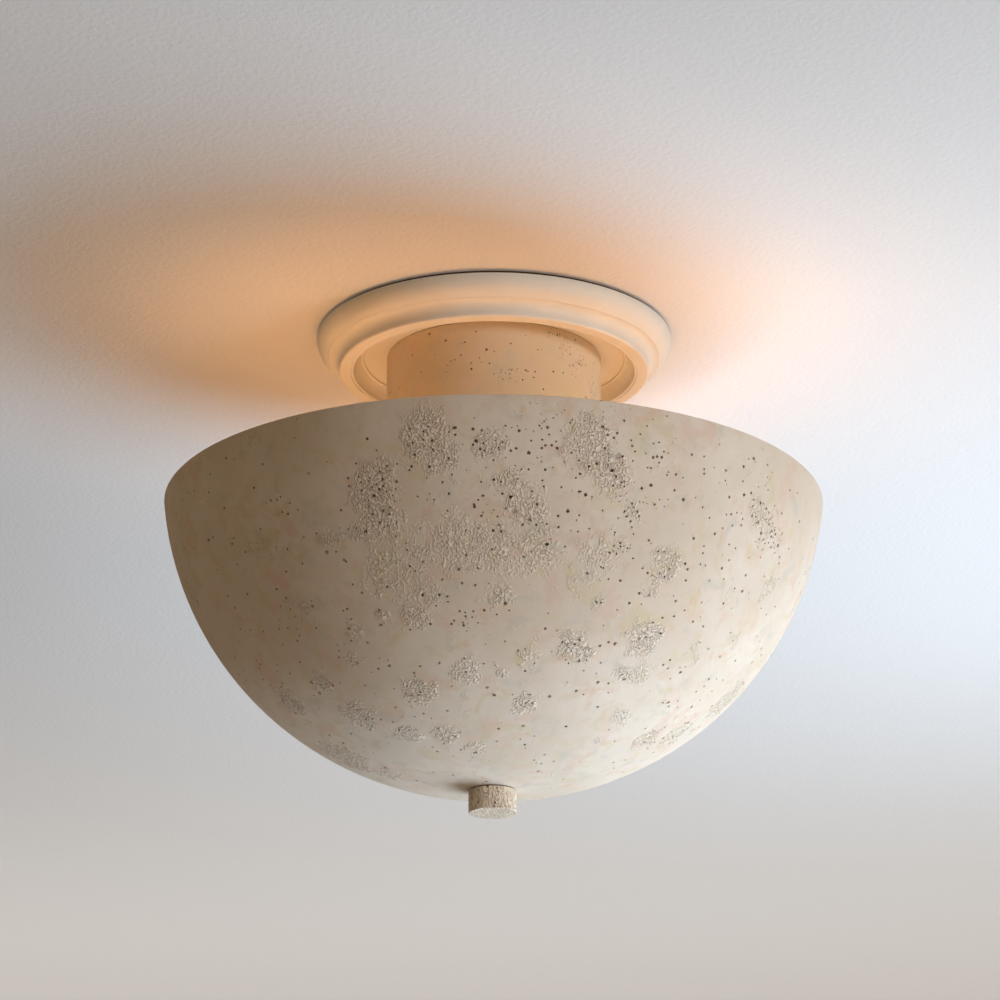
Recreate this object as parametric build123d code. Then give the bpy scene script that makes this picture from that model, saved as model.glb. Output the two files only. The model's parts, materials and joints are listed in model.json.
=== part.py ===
from build123d import *
from math import acos, atan2, cos, degrees, hypot, pi, radians, sin, sqrt, tan
import os

# Flush mount ceiling light, in millimetres.
# The origin is the middle of the ceiling plane, +Z up, and the light hangs below it.
# A moulded canopy ring stands on the ceiling round a stone-look cylinder. A threaded pipe
# runs down the axis from the crossbar to the finial, and carries a stone-look bowl.
# Three screw-in bulbs sit inside the bowl, on lampholders under the cylinder.

# Clearances
slip_gap = 0.4            # round a piece that is only located by another
glue_gap = 0.05           # round a piece that is bonded or threaded in for good
thread_gap = 0.05         # radial, between the pipe and the finial's insert
lead_gap = 0.2            # round an insulated lead in its hole

# Gasket and canopy ring, worked outwards from the cylinder
gasket_thickness = 2.8    # the dark line that shows between ring and ceiling
gasket_setback = 3.0
gasket_width = 14.0
recess_gap = 14.4         # from the cylinder to the foot of the cove
cove_width = 6.4
nose_width = 9.3          # the ridge, from its inner bead to its outer edge
cavetto_width = 6.7
ovolo_width = 7.4
ring_plate_depth = 12.9   # from the ring's back to the plate's underside
ridge_drop = 9.6          # how far the ridge hangs below the plate
ring_lip = 1.2
fillet_step = 0.7         # the fine line between the ring's two curves
ridge_round = 1.3
ridge_wall = 1.7          # the straight stretch of the ridge's outside
cove_sag = 0.6            # how far the cove leaves a straight slope
inner_bead_r = 1.0
plate_bead_r = 0.7
ring_plate_thickness = 4.0
back_wall = 2.1           # between the cove's foot and the recess in the back
wiring_hole_r = 32.0
spigot_height = 3.0
spigot_width = 6.0

# Canopy cylinder
cylinder_r = 67.2
cylinder_wall = 7.0
cylinder_height = 104.3
cylinder_chamfer = 0.8

# Crossbar
crossbar_length = 112.0
crossbar_width = 20.0
crossbar_thickness = 2.0
crossbar_collar_r = 8.0
crossbar_collar_height = 4.0
slot_spacing = 82.0       # middle to middle, for box screws 70 to 89 mm apart
slot_length = 19.0
slot_r = 2.4
driver_slot_width = 1.0
driver_slot_depth = 0.9
ground_screw_x = 23.0
ground_screw_r = 2.4
ground_head_height = 3.0
ground_head_flats = 8.0

# Centre pipe and its nuts, M10 x 1 all the way
pipe_r = 5.0
pipe_bore_r = 3.4
pipe_pitch = 1.0
pipe_chamfer = 0.5
nut_wall = 3.5            # from the pipe to a nut's flat
nut_height = 4.0
washer_wall = 5.5         # from the pipe to the plate washer's edge
washer_thickness = 1.6
washer_gap = 0.2          # radial, round the pipe

# Socket plate under the cylinder
plate_thickness = 1.6
plate_inset = 1.5         # how far its edge stays inside the cylinder's
rim_height = 8.0
rim_thickness = 1.6

# Lampholders, three, with their brackets
holder_count = 3
first_azimuth = 90.0
holder_tilt = 15.0        # degrees below level
holder_r = 18.0
holder_length = 42.0
holder_chamfer_r = 2.0
holder_chamfer_s = 3.0
holder_floor = 14.0       # from its back to the floor of the socket
holder_axis_gap = 17.0    # from the pipe to the middle of its back
holder_top_gap = 3.2      # from the bracket's foot down to the lampholder
mouth_round = 1.0
shell_r = 13.9
shell_thickness = 0.5
shell_length = 24.0
shell_flange = 5.9
shell_gap = 0.4
contact_width = 6.0
contact_length = 12.0
contact_tongue = 7.0
contact_thickness = 0.5
contact_gap = 0.3         # between the contact's tongue and the bulb's tip
bracket_thickness = 1.6
bracket_width = 16.0
bracket_tail = 12.0       # how far the tab reaches past the lampholder's axis
bracket_foot = 17.0
bracket_screw_in = 7.0    # from the foot's free end
screw_r = 2.0
screw_head_r = 3.6
screw_head_height = 2.2
screw_nut_flats = 7.0
screw_nut_height = 3.2
screw_tail = 1.3          # shank that stands above its nut
nipple_r = 5.0
nipple_bore_r = 3.4
nipple_depth = 6.0
nipple_tail = 1.4
holder_nut_wall = 2.0
holder_nut_height = 3.0

# Bulbs, on the axis of their lampholder
cap_r = 13.05
cap_thickness = 0.6
cap_length = 26.4
tip_r = 4.5
tip_height = 0.6
tip_neck_r = 5.9
tip_neck_height = 0.6
bulb_neck_r = 14.2
bulb_neck_chamfer = 0.8
bulb_neck_slope = 0.12
bulb_shoulder_r = 26.0
globe_r = 30.0
globe_thickness = 1.5
bulb_length = 109.0
led_board_r = 22.5
led_board_thickness = 1.6

# Leads, grommets and connectors
lead_r = 1.2
lead_bend_r = 7.5
lead_rise = 8.0           # above the lampholder's axis, where a lead leaves it
lead_side_gap = 1.8       # between a lead and the bracket beside it
lead_straight = 3.0
lead_hole_depth = 4.0
lead_inset = 3.0
grommet_neck_r = 3.6
grommet_flange_r = 5.0
grommet_flange = 1.2
connector_x = 30.0
connector_y = 6.0
connector_r = 7.0
connector_tip_r = 4.4
connector_length = 26.0
connector_skirt_bore_r = 5.0
connector_skirt_depth = 5.0
connector_depth = 14.0
connector_tip_round = 1.0
connector_grip_start = 8.0
connector_groove_width = 1.2
connector_groove_depth = 0.5
connector_groove_count = 12
connector_height = 36.0   # the black connector's mouth above the socket plate
connector_step = 12.0     # how much higher the white one hangs
lead_spread = 1.7         # from the connector's axis to each lead
lead_in_connector = 9.0
ground_wire_r = 0.8
ground_bend_r = 5.0
ground_lug_bend_r = 3.0
ground_lead_y = 14.0
lug_thickness = 0.8
lug_r = 4.6
lug_overlap = 1.0         # of the lug's tongue with its eye and its barrel
barrel_r = 1.7
barrel_length = 5.0
barrel_start = 4.2

# Bowl
rim_drop = 115.8          # from the ceiling to the rim
bowl_rim_r = 203.2
bowl_depth = 178.0
bowl_flat_r = 4.8         # the arc of the wall starts this far from the axis
bowl_wall = 6.0
bowl_floor_extra = 1.0
bowl_hole_gap = 1.0
bowl_edge_round = 0.6
finial_seat_depth = 0.35
pad_wall = 15.0           # from the pipe to the pad's edge
pad_thickness = 1.5
bowl_plate_wall = 13.0
bowl_plate_thickness = 1.6
bowl_plate_gap = 0.3

# Finial
finial_r = 14.5
finial_height = 13.6
finial_edge_round = 0.5
finial_washer_thickness = 0.8
finial_washer_inset = 1.0
finial_washer_gap = 0.5
insert_wall = 2.5
insert_length = 10.0
insert_pocket = 11.0

# Heights worked out from the sizes above
z_ring_top = -gasket_thickness
z_ring_plate = z_ring_top - ring_plate_depth
z_ridge = z_ring_plate - ridge_drop
z_cylinder_bottom = z_ring_plate - cylinder_height
z_plate_bottom = z_cylinder_bottom - plate_thickness
z_rim = -rim_drop
z_bowl_bottom = z_rim - bowl_depth
z_finial_seat = z_bowl_bottom + finial_seat_depth
z_finial_top = z_finial_seat - finial_washer_thickness
z_finial_bottom = z_finial_top - finial_height
z_pipe_top = -crossbar_thickness / 2
z_pipe_bottom = z_finial_top - insert_length + finial_washer_thickness
z_bowl_floor = z_bowl_bottom + bowl_wall + bowl_floor_extra
z_pad_top = z_bowl_floor + pad_thickness
z_stop = z_pad_top + bowl_plate_thickness

# The ring's radii
recess_r = cylinder_r + recess_gap
ridge_inner_r = recess_r + cove_width
ridge_r = ridge_inner_r + nose_width
face_line_r = ridge_r + cavetto_width
ring_outer_r = face_line_r + ovolo_width
cylinder_bore_r = cylinder_r - cylinder_wall

# The bowl's arc, from the rim to the flat at its bottom
bowl_arc_r = ((bowl_rim_r - bowl_flat_r) ** 2 + bowl_depth ** 2) / (2 * bowl_depth)
z_bowl_arc = z_bowl_bottom + bowl_arc_r

# A lampholder's place: s runs out along its axis, n square to that and upwards
tilt = radians(holder_tilt)
holder_back_r = pipe_r + holder_axis_gap
z_holder_back = (z_plate_bottom - bracket_thickness - holder_top_gap
                 - holder_r * cos(tilt) + holder_chamfer_s * sin(tilt))
s_bulb_tip = holder_floor + 2 * contact_thickness + contact_gap
s_bulb_base = s_bulb_tip + tip_height
s_cap_bottom = s_bulb_base + tip_neck_height + cap_thickness
s_cap_end = s_cap_bottom + cap_length
s_globe = s_bulb_tip + bulb_length - globe_r
s_shoulder = s_globe - sqrt(globe_r ** 2 - bulb_shoulder_r ** 2)


def on_axis(s, n):
    """Radius and height of a point beside a lampholder's axis."""
    return (holder_back_r + s * cos(tilt) + n * sin(tilt), z_holder_back - s * sin(tilt) + n * cos(tilt))


def holder_plane(azimuth):
    """Plane with X along the lampholder's axis and Z square to it, upwards."""
    a = radians(azimuth)
    along = (cos(tilt) * cos(a), cos(tilt) * sin(a), -sin(tilt))
    square = (sin(tilt) * cos(a), sin(tilt) * sin(a), cos(tilt))
    return Plane(origin=(holder_back_r * cos(a), holder_back_r * sin(a), z_holder_back),
                 x_dir=along, z_dir=square)


azimuths = [first_azimuth + 360 / holder_count * i for i in range(holder_count)]


def turned(*edges):
    """Solid of revolution about Z, from an outline of radius and height."""
    return revolve(Plane.XZ * make_face(Curve() + list(edges)), axis=Axis.Z)


def turned_lines(*points):
    """The same, from straight lines through the points."""
    return turned(Polyline(*points, close=True))


def ring(outer_r, inner_r, z_low, z_high):
    """Flat ring or tube between two heights."""
    return turned_lines((inner_r, z_low), (outer_r, z_low), (outer_r, z_high), (inner_r, z_high))


def turned_along(*edges):
    """Solid of revolution about X, from an outline of length and radius."""
    return revolve(make_face(Curve() + list(edges)), axis=Axis.X)


def turned_lines_along(*points):
    return turned_along(Polyline(*points, close=True))


def hex_nut(flats, bore_r, z_low, height):
    """Hexagon nut about Z, with its corners chamfered top and bottom."""
    corner_r = flats / sqrt(3)
    chamfer = corner_r - flats / 2
    hexagon = Pos(0, 0, z_low) * extrude(RegularPolygon(flats / 2, 6, major_radius=False), height)
    blank = turned_lines((bore_r, z_low), (flats / 2, z_low), (corner_r, z_low + chamfer / 2),
                         (corner_r, z_low + height - chamfer / 2), (flats / 2, z_low + height),
                         (bore_r, z_low + height))
    return hexagon & blank


def tube_along(points, radii, r):
    """Round wire or lead through the points, with an arc at each corner."""
    path = FilletPolyline(*points, radius=radii)
    swept = sweep(Plane(origin=path @ 0, z_dir=path % 0) * Circle(r), path=path)
    print("lead length", round(path.length, 1), "bends", [round(v, 1) for v in radii],
          "volume over section times length", round(swept.volume / (pi * r ** 2 * path.length), 4))
    return swept


def save(shape, name):
    export_step(shape, "parts/" + name + ".step")


def canopy_ring():
    """Moulded ring with its plate, one piece."""
    ovolo_end = (face_line_r + fillet_step, z_ring_plate + fillet_step)
    line_start = (ovolo_end[0], z_ring_plate)
    line_end = (face_line_r, z_ring_plate)
    ridge_top = (ridge_r, z_ridge + ridge_round + ridge_wall)
    nose_start = (ridge_r, z_ridge + ridge_round)
    nose_end = (ridge_r - ridge_round, z_ridge)
    bead_outer = (ridge_inner_r + 2 * inner_bead_r, z_ridge + inner_bead_r)
    bead_low = (ridge_inner_r + inner_bead_r, z_ridge)
    bead_inner = (ridge_inner_r, z_ridge + inner_bead_r)
    groove = (bead_outer[0], z_ridge + inner_bead_r / 2)
    cove_top = (recess_r + 2 * plate_bead_r, z_ring_plate - plate_bead_r)
    cove_middle = ((bead_inner[0] + cove_top[0]) / 2 + cove_sag, (bead_inner[1] + cove_top[1]) / 2 + cove_sag)
    plate_bead_low = (recess_r + plate_bead_r, z_ring_plate - 2 * plate_bead_r)
    plate_bead_end = (recess_r, z_ring_plate - plate_bead_r)
    spigot_r = cylinder_bore_r - slip_gap
    back_r = recess_r - back_wall
    z_spigot = z_ring_plate - spigot_height
    z_plate_top = z_ring_plate + ring_plate_thickness
    return turned(
        Line((ring_outer_r, z_ring_top), (ring_outer_r, z_ring_top - ring_lip)),
        TangentArc((ring_outer_r, z_ring_top - ring_lip), ovolo_end, tangent=(0, -1)),
        Polyline(ovolo_end, line_start, line_end),
        TangentArc(ridge_top, line_end, tangent=(0, 1)),
        Line(ridge_top, nose_start),
        TangentArc(nose_start, nose_end, tangent=(0, -1)),
        Polyline(nose_end, (groove[0], z_ridge), groove, bead_outer),
        ThreePointArc(bead_outer, bead_low, bead_inner),
        ThreePointArc(bead_inner, cove_middle, cove_top),
        ThreePointArc(cove_top, plate_bead_low, plate_bead_end),
        Polyline(plate_bead_end, (recess_r, z_ring_plate), (spigot_r, z_ring_plate), (spigot_r, z_spigot),
                 (spigot_r - spigot_width, z_spigot), (spigot_r - spigot_width, z_ring_plate),
                 (wiring_hole_r, z_ring_plate), (wiring_hole_r, z_plate_top), (back_r, z_plate_top),
                 (back_r, z_ring_top), (ring_outer_r, z_ring_top)))


def crossbar():
    """Strap with a slot at each end, a tapped collar for the pipe and a tapped ground hole."""
    strap = Pos(0, 0, -crossbar_thickness) * extrude(
        SlotOverall(crossbar_length, crossbar_width), crossbar_thickness)
    collar = ring(crossbar_collar_r, pipe_r, -crossbar_thickness - crossbar_collar_height, 0)
    slots = [Pos(x, 0, -crossbar_thickness) * extrude(SlotOverall(slot_length, 2 * slot_r), crossbar_thickness)
             for x in (-slot_spacing / 2, slot_spacing / 2)]
    ground_hole = Pos(-ground_screw_x, 0, -crossbar_thickness / 2) * Cylinder(ground_screw_r, crossbar_thickness)
    pipe_hole = ring(pipe_r + glue_gap, 0, -crossbar_thickness - crossbar_collar_height, 0)
    return strap + collar - slots - ground_hole - pipe_hole


def ground_screw():
    """Hexagon head screw, with room under its head for the ground wire."""
    z_head = -crossbar_thickness - 2 * ground_wire_r
    head = hex_nut(ground_head_flats, 0, z_head - ground_head_height, ground_head_height)
    shank = ring(ground_screw_r - glue_gap, 0, z_head, 0)
    slot = Pos(0, 0, z_head - ground_head_height) * Box(
        ground_head_flats / 2, driver_slot_width, 2 * driver_slot_depth)
    return Pos(-ground_screw_x, 0, 0) * (head + shank - slot)


def ground_lug_place():
    """Middle of the lug, and the direction from it to the ground wire's drop."""
    a = radians(azimuths[1])
    x, y = bracket_screw_r * cos(a), bracket_screw_r * sin(a)
    wire_x = -ground_screw_x + ground_screw_r + ground_wire_r
    away = atan2(-ground_lead_y - y, wire_x - x)
    return x, y, wire_x, away


def ground_wire():
    """Bare wire, hooked round the ground screw, down to the lug on the socket plate."""
    x, y, wire_x, away = ground_lug_place()
    hook_r = ground_screw_r + ground_wire_r
    z_hook = -crossbar_thickness - ground_wire_r
    z_end = z_cylinder_bottom + lug_thickness + barrel_r
    hook = ThreePointArc((-ground_screw_x - hook_r, 0, z_hook), (-ground_screw_x, hook_r, z_hook),
                         (wire_x, 0, z_hook))
    run = FilletPolyline((wire_x, 0, z_hook), (wire_x, -ground_lead_y, z_hook),
                         (wire_x, -ground_lead_y, z_end),
                         (x + barrel_start * cos(away), y + barrel_start * sin(away), z_end),
                         radius=[ground_bend_r, ground_lug_bend_r])
    path = Wire(hook.edges() + run.edges())
    return sweep(Plane(origin=path @ 0, z_dir=path % 0) * Circle(ground_wire_r), path=path)


def ground_lug():
    """Ring terminal under one bracket nut, with the barrel that grips the ground wire."""
    x, y, wire_x, away = ground_lug_place()
    z_low = z_cylinder_bottom
    eye = ring(lug_r, screw_r + glue_gap, z_low, z_low + lug_thickness)
    tongue_start = lug_r - lug_overlap
    tongue_end = barrel_start + lug_overlap
    tongue = Pos((tongue_start + tongue_end) / 2, 0, z_low + lug_thickness / 2) * Box(
        tongue_end - tongue_start, 2 * barrel_r, lug_thickness)
    barrel = turned_lines_along((barrel_start, ground_wire_r), (barrel_start + barrel_length, ground_wire_r),
                                (barrel_start + barrel_length, barrel_r), (barrel_start, barrel_r))
    barrel = Pos(0, 0, z_low + lug_thickness + barrel_r) * barrel
    foot = Pos(barrel_start + barrel_length / 2, 0, z_low + lug_thickness) * Box(
        barrel_length, barrel_r, 2 * lug_thickness)
    bore = Pos(0, 0, z_low + lug_thickness + barrel_r) * turned_lines_along(
        (barrel_start, 0), (barrel_start + barrel_length, 0),
        (barrel_start + barrel_length, ground_wire_r), (barrel_start, ground_wire_r))
    return Pos(x, y, 0) * Rot(0, 0, degrees(away)) * (eye + tongue + barrel + foot - bore)


def centre_pipe():
    """Threaded pipe from the crossbar down to the finial."""
    c = pipe_chamfer
    return turned_lines((pipe_bore_r, z_pipe_bottom), (pipe_r - c, z_pipe_bottom), (pipe_r, z_pipe_bottom + c),
                        (pipe_r, z_pipe_top - c), (pipe_r - c, z_pipe_top), (pipe_bore_r, z_pipe_top))


def pipe_nut(z_low):
    return hex_nut(2 * (pipe_r + nut_wall), pipe_r + glue_gap, z_low, nut_height)


def canopy_cylinder():
    c = cylinder_chamfer
    return turned_lines((cylinder_bore_r, z_cylinder_bottom), (cylinder_r - c, z_cylinder_bottom),
                        (cylinder_r, z_cylinder_bottom + c), (cylinder_r, z_ring_plate - c),
                        (cylinder_r - c, z_ring_plate), (cylinder_bore_r, z_ring_plate))


# A lead leaves its lampholder beside the bracket, and turns straight up
lead_side = bracket_width / 2 + lead_side_gap + lead_r
lead_turn = pi / 2 - tilt
lead_corner_s = -(lead_straight + lead_bend_r * tan(lead_turn / 2))
lead_start = on_axis(lead_inset, lead_rise)
lead_corner = on_axis(lead_corner_s, lead_rise)
bracket_foot_end = on_axis(0, (z_plate_bottom - z_holder_back) / cos(tilt))[0] + bracket_foot
bracket_screw_r = bracket_foot_end - bracket_screw_in


def around(azimuth, r, side, z):
    """Point at a radius and a sideways offset from the direction of one lampholder."""
    a = radians(azimuth)
    return (r * cos(a) - side * sin(a), r * sin(a) + side * cos(a), z)


def socket_plate():
    """Pressed plate that closes the cylinder, with an upturned rim inside it."""
    rim_r = cylinder_bore_r - slip_gap
    plate = ring(cylinder_r - plate_inset, pipe_r + washer_gap, z_plate_bottom, z_cylinder_bottom)
    rim = ring(rim_r, rim_r - rim_thickness, z_cylinder_bottom, z_cylinder_bottom + rim_height)
    holes = []
    for azimuth in azimuths:
        for side in (-lead_side, lead_side):
            x, y, z = around(azimuth, lead_corner[0], side, z_plate_bottom + plate_thickness / 2)
            holes.append(Pos(x, y, z) * Cylinder(grommet_neck_r, plate_thickness))
        x, y, z = around(azimuth, bracket_screw_r, 0, z_plate_bottom + plate_thickness / 2)
        holes.append(Pos(x, y, z) * Cylinder(screw_r + glue_gap, plate_thickness))
    return plate + rim - holes


def wire_grommets():
    """Rubber grommet for each lead, gripping the plate's edge."""
    bore = lead_r + lead_gap
    grommets = []
    for azimuth in azimuths:
        for side in (-lead_side, lead_side):
            x, y, z = around(azimuth, lead_corner[0], side, 0)
            grommet = turned_lines(
                (bore, z_plate_bottom - grommet_flange), (grommet_flange_r, z_plate_bottom - grommet_flange),
                (grommet_flange_r, z_plate_bottom), (grommet_neck_r, z_plate_bottom),
                (grommet_neck_r, z_cylinder_bottom), (grommet_flange_r, z_cylinder_bottom),
                (grommet_flange_r, z_cylinder_bottom + grommet_flange), (bore, z_cylinder_bottom + grommet_flange))
            grommets.append(Pos(x, y, 0) * grommet)
    return Compound(children=grommets)


def holder_bracket(azimuth):
    """Bent strap: a foot flat on the socket plate and a tab behind the lampholder."""
    tab_top = on_axis(0, (z_plate_bottom - bracket_thickness - z_holder_back) / cos(tilt))
    inner_n = (z_plate_bottom - z_holder_back - bracket_thickness * sin(tilt)) / cos(tilt)
    outline = Polyline(on_axis(0, -bracket_tail), tab_top,
                       (bracket_foot_end, z_plate_bottom - bracket_thickness), (bracket_foot_end, z_plate_bottom),
                       on_axis(-bracket_thickness, inner_n), on_axis(-bracket_thickness, -bracket_tail), close=True)
    strap = extrude(Plane.XZ * make_face(outline), bracket_width / 2, both=True)
    screw_hole = Pos(bracket_screw_r, 0, z_plate_bottom) * Cylinder(screw_r + glue_gap, 4 * bracket_thickness)
    nipple_hole = holder_plane(0) * (Rot(0, 90, 0) * Cylinder(nipple_r + glue_gap, 4 * bracket_thickness))
    return Rot(0, 0, azimuth) * (strap - screw_hole - nipple_hole)


def bracket_screw(lug):
    """Pan head screw up through foot and plate, for one bracket."""
    z_head = z_plate_bottom - bracket_thickness
    z_low = z_head - screw_head_height
    z_top = z_cylinder_bottom + lug + screw_nut_height + screw_tail
    chamfer = screw_head_height / 2
    screw = turned_lines((0, z_low), (screw_head_r - chamfer, z_low), (screw_head_r, z_low + chamfer),
                         (screw_head_r, z_head), (screw_r, z_head), (screw_r, z_top), (0, z_top))
    cross = (Box(screw_head_r, driver_slot_width, 2 * driver_slot_depth)
             + Box(driver_slot_width, screw_head_r, 2 * driver_slot_depth))
    return screw - Pos(0, 0, z_low) * cross


def bracket_fasteners():
    """The three screws and the three nuts, each as a group."""
    screws, nuts = [], []
    for i, azimuth in enumerate(azimuths):
        lug = lug_thickness if i == 1 else 0
        place = Pos(*around(azimuth, bracket_screw_r, 0, 0)) * Rot(0, 0, azimuth)
        screws.append(place * bracket_screw(lug))
        nuts.append(place * hex_nut(screw_nut_flats, screw_r + glue_gap, z_cylinder_bottom + lug, screw_nut_height))
    return Compound(children=screws), Compound(children=nuts)


def lampholder(azimuth):
    """Porcelain cup with the socket in front and holes for the nipple and two leads behind."""
    bore = shell_r + shell_gap
    back_r = holder_r - holder_chamfer_r
    round_start = (holder_length - mouth_round, holder_r)
    round_end = (holder_length, holder_r - mouth_round)
    body = turned_along(
        Polyline((0, 0), (0, back_r), (holder_chamfer_s, holder_r), round_start),
        TangentArc(round_start, round_end, tangent=(1, 0)),
        Polyline(round_end, (holder_length, bore), (holder_floor, bore), (holder_floor, 0), (0, 0)))
    nipple_hole = Pos(nipple_depth / 2, 0, 0) * Rot(0, 90, 0) * Cylinder(nipple_r + glue_gap, nipple_depth)
    lead_holes = [Pos(lead_hole_depth / 2, side, lead_rise) * Rot(0, 90, 0)
                  * Cylinder(lead_r + lead_gap, lead_hole_depth) for side in (-lead_side, lead_side)]
    return holder_plane(azimuth) * (body - nipple_hole - lead_holes)


def screw_shell(azimuth):
    """Thin threaded cup that grips the bulb's cap."""
    inner = shell_r - shell_thickness
    end = holder_floor + shell_length
    hole_r = shell_r - shell_flange
    return holder_plane(azimuth) * turned_lines_along(
        (holder_floor, hole_r), (holder_floor, shell_r), (end, shell_r), (end, inner),
        (holder_floor + shell_thickness, inner), (holder_floor + shell_thickness, hole_r))


def centre_contact(azimuth):
    """Folded tongue on the socket's floor."""
    t = contact_thickness
    base = Pos(holder_floor + t / 2, 0, 0) * Box(t, contact_width, contact_length)
    tongue = Pos(holder_floor + 1.5 * t, 0, (contact_length - contact_tongue) / 2) * Box(
        t, contact_width, contact_tongue)
    return holder_plane(azimuth) * (base + tongue)


def holder_nipple(azimuth):
    """Short threaded tube that holds the lampholder to its bracket."""
    back = -bracket_thickness - holder_nut_height - nipple_tail
    return holder_plane(azimuth) * turned_lines_along(
        (back, nipple_bore_r), (back, nipple_r), (nipple_depth, nipple_r), (nipple_depth, nipple_bore_r))


def holder_nut(azimuth):
    nut = hex_nut(2 * (nipple_r + holder_nut_wall), nipple_r + glue_gap, -holder_nut_height, holder_nut_height)
    return holder_plane(azimuth) * Pos(-bracket_thickness, 0, 0) * Rot(0, 90, 0) * nut


def bulb_body(azimuth):
    """Moulded body from the core inside the cap to the shoulder that carries the globe."""
    core_r = cap_r - cap_thickness - glue_gap
    neck_start = s_cap_end + bulb_neck_chamfer
    return holder_plane(azimuth) * turned_along(
        Polyline((s_bulb_base, 0), (s_bulb_base, tip_neck_r - glue_gap), (s_cap_bottom, tip_neck_r - glue_gap),
                 (s_cap_bottom, core_r), (s_cap_end, core_r), (s_cap_end, bulb_neck_r - bulb_neck_chamfer),
                 (neck_start, bulb_neck_r)),
        TangentArc((neck_start, bulb_neck_r), (s_shoulder, bulb_shoulder_r), tangent=(1, bulb_neck_slope)),
        Polyline((s_shoulder, bulb_shoulder_r), (s_shoulder, 0), (s_bulb_base, 0)))


def bulb_cap(azimuth):
    """Screw cap, with its end turned in round the tip."""
    inner = cap_r - cap_thickness
    s_end = s_cap_bottom - cap_thickness
    return holder_plane(azimuth) * turned_lines_along(
        (s_end, tip_neck_r), (s_end, inner), (s_cap_bottom, cap_r), (s_cap_end, cap_r), (s_cap_end, inner),
        (s_cap_bottom, inner), (s_cap_bottom, tip_neck_r))


def bulb_tip(azimuth):
    """Contact button at the bulb's end."""
    return holder_plane(azimuth) * turned_lines_along(
        (s_bulb_base, 0), (s_bulb_base, tip_r), (s_bulb_tip, tip_r - tip_height), (s_bulb_tip, 0))


def led_board(azimuth):
    return holder_plane(azimuth) * turned_lines_along(
        (s_shoulder, 0), (s_shoulder, led_board_r), (s_shoulder + led_board_thickness, led_board_r),
        (s_shoulder + led_board_thickness, 0))


def bulb_globe(azimuth):
    """Diffuser dome, a shell that stands on the body's shoulder."""
    inner_r = globe_r - globe_thickness
    outer = (s_shoulder, bulb_shoulder_r)
    inner = (s_shoulder, sqrt(inner_r ** 2 - (s_globe - s_shoulder) ** 2))
    return holder_plane(azimuth) * turned_along(
        ThreePointArc(outer, (s_globe, globe_r), (s_globe + globe_r, 0)),
        Line((s_globe + globe_r, 0), (s_globe + inner_r, 0)),
        ThreePointArc((s_globe + inner_r, 0), (s_globe, inner_r), inner),
        Line(inner, outer))


def lead(azimuth, side, connector, angle, z_first, z_second, z_end):
    """One lead, from its lampholder up through the plate and over to a connector."""
    x, y = connector
    up = around(azimuth, lead_corner[0], side, z_first)
    under = (x + lead_spread * cos(radians(angle)), y + lead_spread * sin(radians(angle)), z_second)
    flat = hypot(under[0] - up[0], under[1] - up[1])
    half_turn = atan2(flat, z_second - z_first) / 2
    span = hypot(flat, z_second - z_first)
    bend = min(lead_bend_r, 0.45 * span / tan(half_turn))
    points = [around(azimuth, lead_start[0], side, lead_start[1]),
              around(azimuth, lead_corner[0], side, lead_corner[1]), up, under, (under[0], under[1], z_end)]
    return tube_along(points, [lead_bend_r, bend, bend], lead_r)


def all_leads():
    """Six leads. The long ones start lowest, and pass under the short ones."""
    leads = {}
    for colour, x, step, hand in (("black", -connector_x, 0, 1), ("white", connector_x, connector_step, -1)):
        z_mouth = z_cylinder_bottom + connector_height + step
        z_end = z_mouth + lead_in_connector
        near, far = (1, 2) if hand > 0 else (2, 1)
        routes = {0: (lead_side * hand, 90, z_mouth - 24, z_mouth - 12),
                  near: (-lead_side * hand, -90 + 60 * hand, z_mouth - 19, z_mouth - 6),
                  far: (-lead_side * hand, -90 - 60 * hand, z_mouth - 26, z_mouth - 18)}
        for i, (side, angle, z_first, z_second) in routes.items():
            leads[colour + "_lead_" + str(i + 1)] = lead(
                azimuths[i], side, (x, connector_y), angle, z_first, z_second, z_end)
    return leads


def wire_connector(x, step):
    """Twist-on connector, mouth down over three leads, which its narrow end grips."""
    z = z_cylinder_bottom + connector_height + step
    grip_r = lead_spread + lead_r + glue_gap
    body = turned_lines(
        (connector_skirt_bore_r, z), (connector_r, z), (connector_r, z + connector_grip_start),
        (connector_tip_r, z + connector_length - connector_tip_round),
        (connector_tip_r - connector_tip_round, z + connector_length), (0, z + connector_length),
        (0, z + connector_depth), (grip_r, z + connector_depth), (grip_r, z + connector_skirt_depth),
        (connector_skirt_bore_r, z + connector_skirt_depth))
    grooves = [Rot(0, 0, 360 / connector_groove_count * i) * Pos(connector_r, 0, z + connector_length / 2)
               * Box(2 * connector_groove_depth, connector_groove_width, connector_length)
               for i in range(connector_groove_count)]
    return Pos(x, connector_y, 0) * (body - grooves)


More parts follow.
